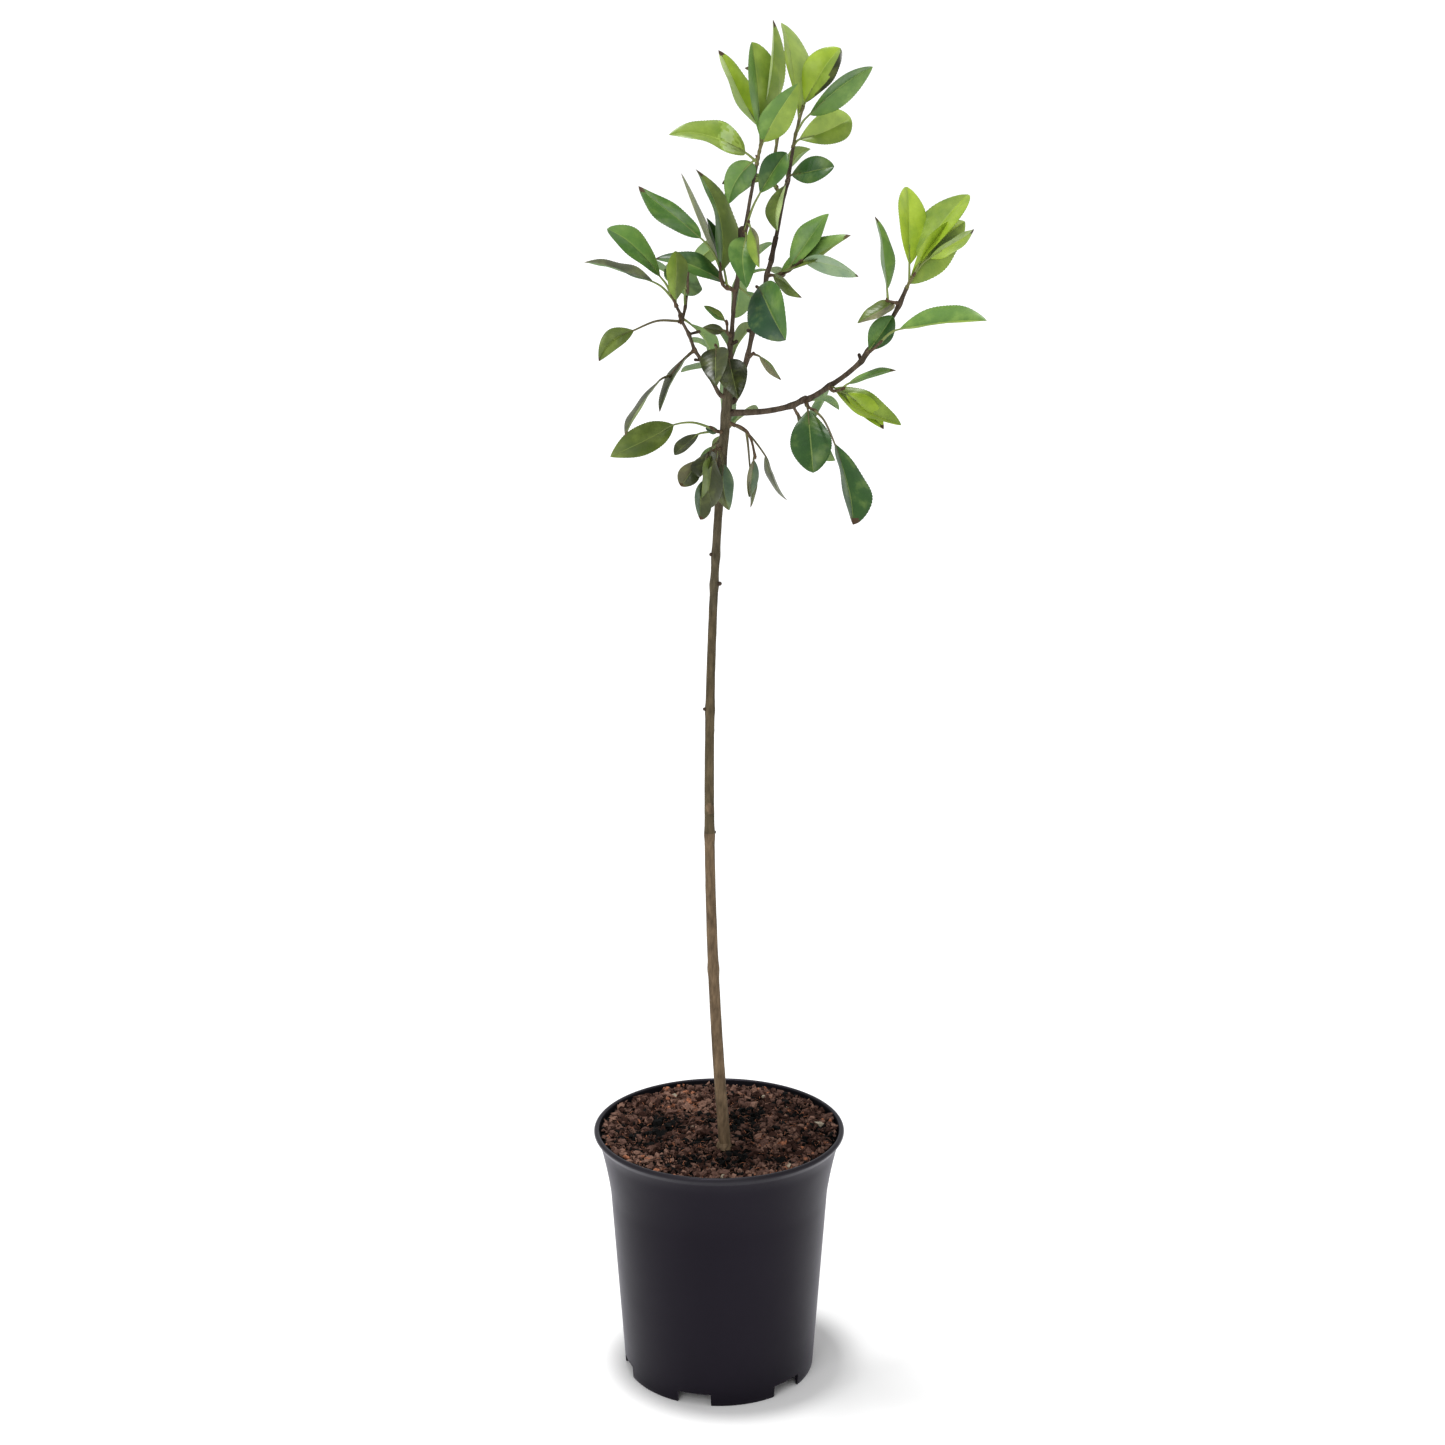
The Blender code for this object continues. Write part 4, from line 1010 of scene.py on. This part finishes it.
def fine_pot_profile():
    """The source's profile with rounder corners and a finer collar."""
    under = POT_HEIGHT - LIP_DEPTH
    heights = list(np.linspace(FLOOR_TOP, COLLAR_FOOT, WALL_POINTS))
    heights += list(np.linspace(COLLAR_FOOT, under, COLLAR_POINTS))[1:]
    inner = [(wall_radius(z) - WALL, z) for z in heights]
    lip = arc(RIM_RADIUS - LIP_WIDTH + LIP_RADIUS, POT_HEIGHT - LIP_RADIUS, LIP_RADIUS, 180, 90, LIP_STEPS)
    lip += arc(RIM_RADIUS - LIP_RADIUS, POT_HEIGHT - LIP_RADIUS, LIP_RADIUS, 90, -40, LIP_STEPS)
    lip.append((wall_radius(under) + 0.0016, under + 0.0002))
    lip.append((wall_radius(under - 0.002) + 0.0003, under - 0.0022))
    outer = [(wall_radius(z), z) for z in heights if z < POT_HEIGHT - 2 * LIP_DEPTH][::-1]
    below = [(wall_radius(z), z) for z in (0.012, 0.008, 0.004, 0.001)] + [(FOOT_RADIUS - 0.0004, 0.0)]
    floor_under = FLOOR_TOP - FLOOR_THICKNESS
    return ([(0.0, FLOOR_TOP)] + inner + lip + outer + below
            + [(FOOT_RADIUS - WALL, 0.0), (FOOT_RADIUS - WALL, floor_under), (HUB_RADIUS, floor_under),
               (HUB_RADIUS, 0.0), (0.0, 0.0)])


def finished(name, shape):
    """The mesh of a shape, which is then given up."""
    mesh = bpy.data.meshes.new(name)
    shape.to_mesh(mesh)
    shape.free()
    return mesh


def revolve(name, profile, steps):
    """A closed turned object, with single points on the axis."""
    shape = bmesh.new()
    turns = [2 * math.pi * i / steps for i in range(steps)]
    ways = [(math.sin(turn), -math.cos(turn)) for turn in turns]
    rings = []
    for radius, z in profile:
        around = ways if radius else [(0.0, 0.0)]
        rings.append([shape.verts.new((radius * x, radius * y, z)) for x, y in around])
    for low, high in zip(rings, rings[1:]):
        for i in range(steps):
            after = (i + 1) % steps
            corners = [low[i % len(low)], low[after % len(low)], high[after % len(high)], high[i % len(high)]]
            shape.faces.new(list(dict.fromkeys(corners)))
    bmesh.ops.recalc_face_normals(shape, faces=shape.faces)
    return placed(name, finished(name, shape))


def foot_cutters():
    """The notches through the foot and the drain holes in the floor, as one object."""
    depth = RIM_RADIUS - NOTCH_INNER_RADIUS
    size = Matrix.Diagonal((NOTCH_WIDTH, depth, 2 * NOTCH_HEIGHT, 1.0))
    shape = bmesh.new()
    for index in range(NOTCHES):
        turn = Matrix.Rotation(math.radians(NOTCH_FIRST_ANGLE + 360.0 * index / NOTCHES), 4, "Z")
        place = turn @ Vector((0.0, -NOTCH_INNER_RADIUS - depth / 2, 0.0))
        bmesh.ops.create_cube(shape, size=1.0, matrix=Matrix.Translation(place) @ turn @ size)
        hole = Matrix.Translation(turn @ Vector((0.0, -DRAIN_CIRCLE, FLOOR_TOP)))
        bmesh.ops.create_cone(shape, cap_ends=True, segments=32, radius1=DRAIN_RADIUS, radius2=DRAIN_RADIUS,
                              depth=4 * FLOOR_THICKNESS, matrix=hole)
    return placed("foot_cutters", finished("foot_cutters", shape))


def cut_away(thing, cutter):
    """Takes the cutter's shape out of the thing, and removes the cutter."""
    cut = thing.modifiers.new("cut", "BOOLEAN")
    cut.operation = "DIFFERENCE"
    cut.object = cutter
    cut.solver = "EXACT"
    graph = bpy.context.evaluated_depsgraph_get()
    mesh = bpy.data.meshes.new_from_object(thing.evaluated_get(graph))
    thing.modifiers.clear()
    thing.data = mesh
    bpy.data.objects.remove(cutter)


# The outside, the rim and the inside: name, dark and light tone, roughness and sheen. The rim is lighter as a
# painted highlight along its edge, and the inside darker as painted shade within the pot.
PLASTICS = [
    ("black_plastic", (0.0036, 0.0026, 0.0048), (0.0058, 0.0044, 0.0076), 0.42, 0.20),
    ("rim_plastic", (0.011, 0.010, 0.012), (0.019, 0.018, 0.021), 0.34, 0.20),
    ("inner_plastic", (0.0010, 0.0010, 0.0012), (0.0020, 0.0020, 0.0024), 0.60, 0.0),
]
SHEEN_TINT = (0.84, 0.82, 1.0, 1.0)
GLOSS_TINT = (0.84, 0.76, 1.0, 1.0)


def plastic_finish(name, low, high, roughness, sheen):
    """Moulded plastic with faint clouds, an uneven gloss and a fine grain."""
    finish = Finish(name, roughness, 0.13)
    finish.shade(Sheen_Weight=sheen, Sheen_Roughness=0.35, Sheen_Tint=SHEEN_TINT, Specular_Tint=GLOSS_TINT)
    finish.colour(finish.noise(14.0, 3.0, 0.5, (1.0, 1.0, 0.5)), [(0.3, low), (0.7, high)])
    finish.rough(finish.noise(40.0, 4.0, 0.6), roughness - 0.05, roughness + 0.07)
    finish.bump(finish.noise(900.0, 2.0), 0.10, 0.0002)
    return finish.material


def pot_slot(place):
    """Which of the PLASTICS a place has: the rim with its painted highlight, the inside with its painted
    shade, or else the outside.
    """
    radius = math.hypot(place.x, place.y)
    # the lip's top and outside get the lighter plastic of the painted highlight
    if place.z > POT_HEIGHT - LIP_DEPTH + 0.001 and radius > RIM_RADIUS - LIP_WIDTH + 0.0006:
        return 1
    # the inner wall gets the darker plastic of the painted shade
    return 2 if place.z > FLOOR_TOP and radius < wall_radius(place.z) - WALL / 2 else 0


def make_pot():
    pot = revolve("pot_shell", fine_pot_profile(), POT_STEPS)
    cut_away(pot, foot_cutters())
    pot.data.materials.clear()
    for row in PLASTICS:
        pot.data.materials.append(plastic_finish(*row))
    for face in pot.data.polygons:
        face.use_smooth = True
        face.material_index = pot_slot(face.center)
    pot.data.set_sharp_from_angle(angle=math.radians(40))
    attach(pot, "root")
    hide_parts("pot")


# Compost

CRUMB_COLOURS = [
    ("crumb_dark", seen(36, 27, 26)), ("crumb_umber", seen(70, 52, 47)), ("crumb_brown", seen(110, 84, 75)),
    ("crumb_tan", seen(144, 112, 98)), ("crumb_orange", seen(178, 120, 93)),
]
# The bed is darker than the crumbs, as painted shade in the gaps between them
BED_COLOURS = [(0.35, seen(16, 12, 12)), (0.6, seen(30, 22, 20)), (0.75, seen(52, 37, 32))]

# Hollows in the compost, each with its place, radius and depth, and patches of orange-brown crumbs
HOLLOWS = [(0.028, 0.029, 0.012, 0.0034), (-0.053, 0.016, 0.016, 0.0030), (-0.012, -0.019, 0.010, 0.0030),
           (0.062, -0.050, 0.014, 0.0022), (-0.030, -0.070, 0.013, 0.0020), (0.072, 0.034, 0.010, 0.0020)]
ORANGE_PATCHES = [(-0.025, 0.062, 0.022), (0.040, -0.029, 0.013)]
CRUMBS = 7600
CRUMB_SEED = 41
CRUMB_SHAPE_SEED = 17
CRUMB_LEAST = 0.0007  # radius of the smallest crumb
CRUMB_SPREAD = 0.0022
CRUMB_CEILING = 0.0042  # how far crumbs may stand above the solid's top
CRUMB_MARGIN = 0.0016  # from the pot's wall
CRUMB_FREE = 0.008  # round the middle of the trunk's foot
SPECK_EVERY = 400  # one crumb in so many is a pale speck
FIBRES = 1300
FIBRE_SEED = 43
FIBRE_MARGIN = 0.008
FIBRE_FREE = 0.014
FIBRE_RADIUS = 0.00028
FIBRE_HALF = (0.002, 0.005)  # the range of half a fibre's length
FIBRE_LIFT = (0.0006, 0.0018)
FIBRE_BEND = (-0.4, 0.4)
FIBRE_DIPS = (0.0012, 0.0008)  # how far the ends lie below the middle
SOIL_EDGE_RADIUS = 0.100
SOIL_EDGE_RISE = 0.0018
SOIL_LOWER = 0.0010  # how far the surface lies below the solid's top on average
LUMP_HEIGHT = 0.0026
GRAIN_HEIGHT = 0.0022
MOUND_HEIGHT = 0.0018  # of the compost against the trunk
BED_LOWER = 0.0014  # how far the bed lies below the surface of the crumbs
BED_RINGS = 70
BED_STEPS = 160
SIDE_HEIGHTS = (0.212, 0.20, 0.185, COLLAR_FOOT, FLOOR_TOP + GAP)


def from_trunk(x, y):
    return math.hypot(x - TRUNK_FOOT.x, y - TRUNK_FOOT.y)


def dome(x, y, place_x, place_y, width):
    """A soft round bump that is 1 at its place."""
    return math.exp(-((x - place_x) ** 2 + (y - place_y) ** 2) / width ** 2)


def soil_height(x, y):
    """The compost's surface, with small mounds and hollows, close to the CAD solid's top."""
    radius = math.hypot(x, y)
    rise = min(1.0, max(0.0, radius - SOIL_FLAT_RADIUS) / (SOIL_EDGE_RADIUS - SOIL_FLAT_RADIUS))
    lumps = LUMP_HEIGHT * noise.fractal(Vector((x * 55, y * 55, 3.0)), 1.0, 2.0, 4)
    lumps += GRAIN_HEIGHT * noise.noise(Vector((x * 130, y * 130, 6.0)))
    for *hollow, depth in HOLLOWS:
        lumps -= depth * dome(x, y, *hollow)
    foot = from_trunk(x, y)
    mound = MOUND_HEIGHT * math.exp(-(foot / 0.016) ** 2)
    calm = 1.0 - math.exp(-(foot / 0.012) ** 2)
    return SOIL_TOP + SOIL_EDGE_RISE * rise - SOIL_LOWER + lumps * calm + mound


def make_soil_bed():
    finish = Finish("compost_bed", 0.95, 0.1)
    # the bed's dark colours paint the shade between the crumbs
    finish.colour(finish.noise(420.0, 5.0, 0.65), BED_COLOURS)
    finish.bump(finish.noise(600.0, 5.0, 0.7), 1.0, 0.002)
    inside = WALL + GAP
    limit = wall_radius(SOIL_TOP) - inside
    profile = [(limit * ring / BED_RINGS, SOIL_TOP) for ring in range(BED_RINGS + 1)]
    profile += [(wall_radius(z) - inside, z) for z in SIDE_HEIGHTS]
    bed = revolve("compost_bed", profile + [(0.0, FLOOR_TOP + GAP)], BED_STEPS)
    for point in bed.data.vertices:
        if point.co.z > SIDE_HEIGHTS[0] + GAP:
            point.co.z = soil_height(point.co.x, point.co.y) - BED_LOWER
    bed.data.materials.append(finish.material)
    bed.data.shade_smooth()
    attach(bed, "root")
    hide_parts("compost")


def crumb_shape():
    """A round lump of twelve points and twenty faces, of radius 1."""
    golden = (1 + 5 ** 0.5) / 2
    shape = bmesh.new()
    for a in (-1, 1):
        for b in (-golden, golden):
            for corner in ((0, a, b), (a, b, 0), (b, 0, a)):
                shape.verts.new(corner)
    bmesh.ops.convex_hull(shape, input=shape.verts)
    shape.verts.index_update()
    points = np.array([v.co[:] for v in shape.verts])
    faces = [tuple(v.index for v in face.verts) for face in shape.faces]
    shape.free()
    return points / np.linalg.norm(points[0]), faces


def crumb_slot(x, y, lift, chance):
    """Darker the lower a crumb lies, as painted shade in the hollows, browner above, and orange-brown in
    patches.
    """
    patch = 0.6 * noise.noise(Vector((x * 26, y * 26, 9.0)))
    for orange in ORANGE_PATCHES:
        patch += 0.9 * dome(x, y, *orange)
    # the term in lift darkens the low crumbs: painted shade
    tone = 1.7 + 400.0 * lift + 2.0 * patch + chance.gauss(0.0, 0.85)
    return min(len(CRUMB_COLOURS) - 1, max(0, int(tone)))


def soil_places(count, margin, free, chance):
    """Numbered places on the compost, away from the pot's wall and from the trunk."""
    limit = wall_radius(SOIL_TOP) - WALL - margin
    for index in range(count):
        radius = limit * math.sqrt(chance.random())
        angle = chance.uniform(0.0, 2 * math.pi)
        x, y = radius * math.cos(angle), radius * math.sin(angle)
        if from_trunk(x, y) >= free:
            yield index, x, y


def crumb_finish(name, colour):
    finish = Finish(name, 0.9, 0.12)
    finish.colour(finish.noise(700.0), [(0.3, shaded(colour, 0.6)), (0.7, shaded(colour, 1.3))])
    finish.bump(finish.noise(1600.0), 0.8, 0.0006)
    return finish.material


def make_crumbs():
    """Uneven lumps on the bed, most of them small."""
    chance = random.Random(CRUMB_SEED)
    draws = np.random.RandomState(CRUMB_SHAPE_SEED)
    base, faces = crumb_shape()
    crumbs = Piece("compost_crumbs")
    slots = [crumbs.slot(crumb_finish(name, colour)) for name, colour in CRUMB_COLOURS]
    pale = bark_finish("compost_speck", seen(150, 138, 120), seen(200, 188, 166))
    for index, x, y in soil_places(CRUMBS, CRUMB_MARGIN, CRUMB_FREE, chance):
        size = CRUMB_LEAST + CRUMB_SPREAD * chance.random() ** 3.5
        height = soil_height(x, y)
        if index % SPECK_EVERY == 7:
            slot = crumbs.slot(pale)
        else:
            slot = slots[crumb_slot(x, y, height - SOIL_TOP + 0.0004, chance)]
        points = base * (1.0 + 0.35 * draws.randn(len(base), 1)) * (size * draws.uniform(0.5, 1.6, 3))
        turn = np.array(Matrix.Rotation(chance.uniform(0, 6.28), 3, Vector(draws.randn(3)).normalized()))
        points = points @ turn.T + np.array((x, y, height + size * 0.3))
        points[:, 2] = np.minimum(points[:, 2], SOIL_TOP + CRUMB_CEILING)
        crumbs.add(points, faces, slot)
    thing = crumbs.build(False)
    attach(thing, "root")


def make_fibres():
    """Short fibres that lie on the compost and dip into it at both ends."""
    chance = random.Random(FIBRE_SEED)
    fibres = Piece("compost_fibres")
    slots = [fibres.slot(bpy.data.materials[name]) for name, _ in CRUMB_COLOURS[2:]]
    for _, x, y in soil_places(FIBRES, FIBRE_MARGIN, FIBRE_FREE, chance):
        way = Vector((chance.gauss(0, 1), chance.gauss(0, 1), 0.0)).normalized()
        way *= chance.uniform(*FIBRE_HALF)
        middle = Vector((x, y, soil_height(x, y) + chance.uniform(*FIBRE_LIFT)))
        bend = Vector((way.y, -way.x, 0.0)) * chance.uniform(*FIBRE_BEND)
        first = middle - way - Vector((0.0, 0.0, FIBRE_DIPS[0]))
        last = middle + way - Vector((0.0, 0.0, FIBRE_DIPS[1]))
        path = smooth_path([first, middle + bend, last], 3)
        tube(fibres, path, tapered(FIBRE_RADIUS, FIBRE_RADIUS / 2, len(path)), 4, chance.choice(slots))
    thing = fibres.build(False)
    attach(thing, "root")


# Stage

WORLD_LIGHT = 0.62  # how much light the surroundings give
WORLD_SEEN = 1.15  # how bright they show
SUN_PLACE = (-0.06, 0.0, 0.99)
SUN_POWER = 2.1
SUN_WIDTH = 9.0  # in degrees, for a soft shadow
FRONT_PLACE = (-1.2, -2.6, 1.9)
FRONT_TARGET = (0.0, 0.0, 0.7)
FRONT_POWER = 26.0
FRONT_SIZE = 1.6
CAMERA_PLACE = (0.003, -1.888, 1.056)
CAMERA_DROP = 13.77  # in degrees below the level
CAMERA_LENS = 57.22
FLOOR_REACH = 30.0


def make_stage():
    floor = Piece("floor")
    finish = Finish("floor_white", 0.95, 0.0)
    finish.colour(finish.noise(2.0, 2.0), [(0.3, (0.98, 0.98, 0.98)), (0.7, (1.0, 1.0, 1.0))])
    corners = [(x * FLOOR_REACH, y * FLOOR_REACH, 0.0) for x, y in ((-1, -1), (1, -1), (1, 1), (-1, 1))]
    floor.add(corners, [(0, 1, 2, 3)], floor.slot(finish.material))
    floor.build()


def add_lamp(name, kind, place, target, power):
    lamp = bpy.data.lights.new(name, kind)
    lamp.energy = power
    thing = placed(name, lamp)
    thing.location = place
    thing.rotation_euler = (Vector(target) - Vector(place)).to_track_quat("-Z", "Y").to_euler()
    return lamp


def make_lights():
    """White surroundings, a soft sun from above, a little to the left, and a wide lamp in front.
    The surroundings show whiter than the light they give."""
    world = bpy.data.worlds.new("studio")
    bpy.context.scene.world = world
    world.use_nodes = True
    tree = world.node_tree
    direct = add_node(tree, "LightPath").outputs["Is Camera Ray"]
    strength = add_node(tree, "MapRange", Value=direct, To_Min=WORLD_LIGHT, To_Max=WORLD_SEEN)
    inputs = {"Color": (1.0, 1.0, 1.0, 1.0), "Strength": strength.outputs["Result"]}
    set_inputs(tree, tree.nodes["Background"], inputs)
    sun = add_lamp("sun", "SUN", SUN_PLACE, (0.0, 0.0, 0.0), SUN_POWER)
    sun.angle = math.radians(SUN_WIDTH)
    front = add_lamp("front", "AREA", FRONT_PLACE, FRONT_TARGET, FRONT_POWER)
    front.shape = "RECTANGLE"
    front.size = FRONT_SIZE
    front.size_y = FRONT_SIZE
    bpy.context.scene.view_settings.view_transform = "Standard"


def make_camera():
    data = bpy.data.cameras.new("camera")
    data.sensor_width = 36.0
    data.lens = CAMERA_LENS
    camera = placed("camera", data)
    camera.location = CAMERA_PLACE
    camera.rotation_euler = (math.radians(90.0 - CAMERA_DROP), 0.0, 0.0)
    bpy.context.scene.camera = camera


def main():
    limbs = grow_limbs()
    grown = grow_masses(limbs)
    make_leaves(grown)
    make_twigs(grown, limbs)
    make_trunk(limbs)
    make_boughs(limbs)
    make_pot()
    make_soil_bed()
    make_crumbs()
    make_fibres()
    make_stage()
    make_lights()
    make_camera()


main()
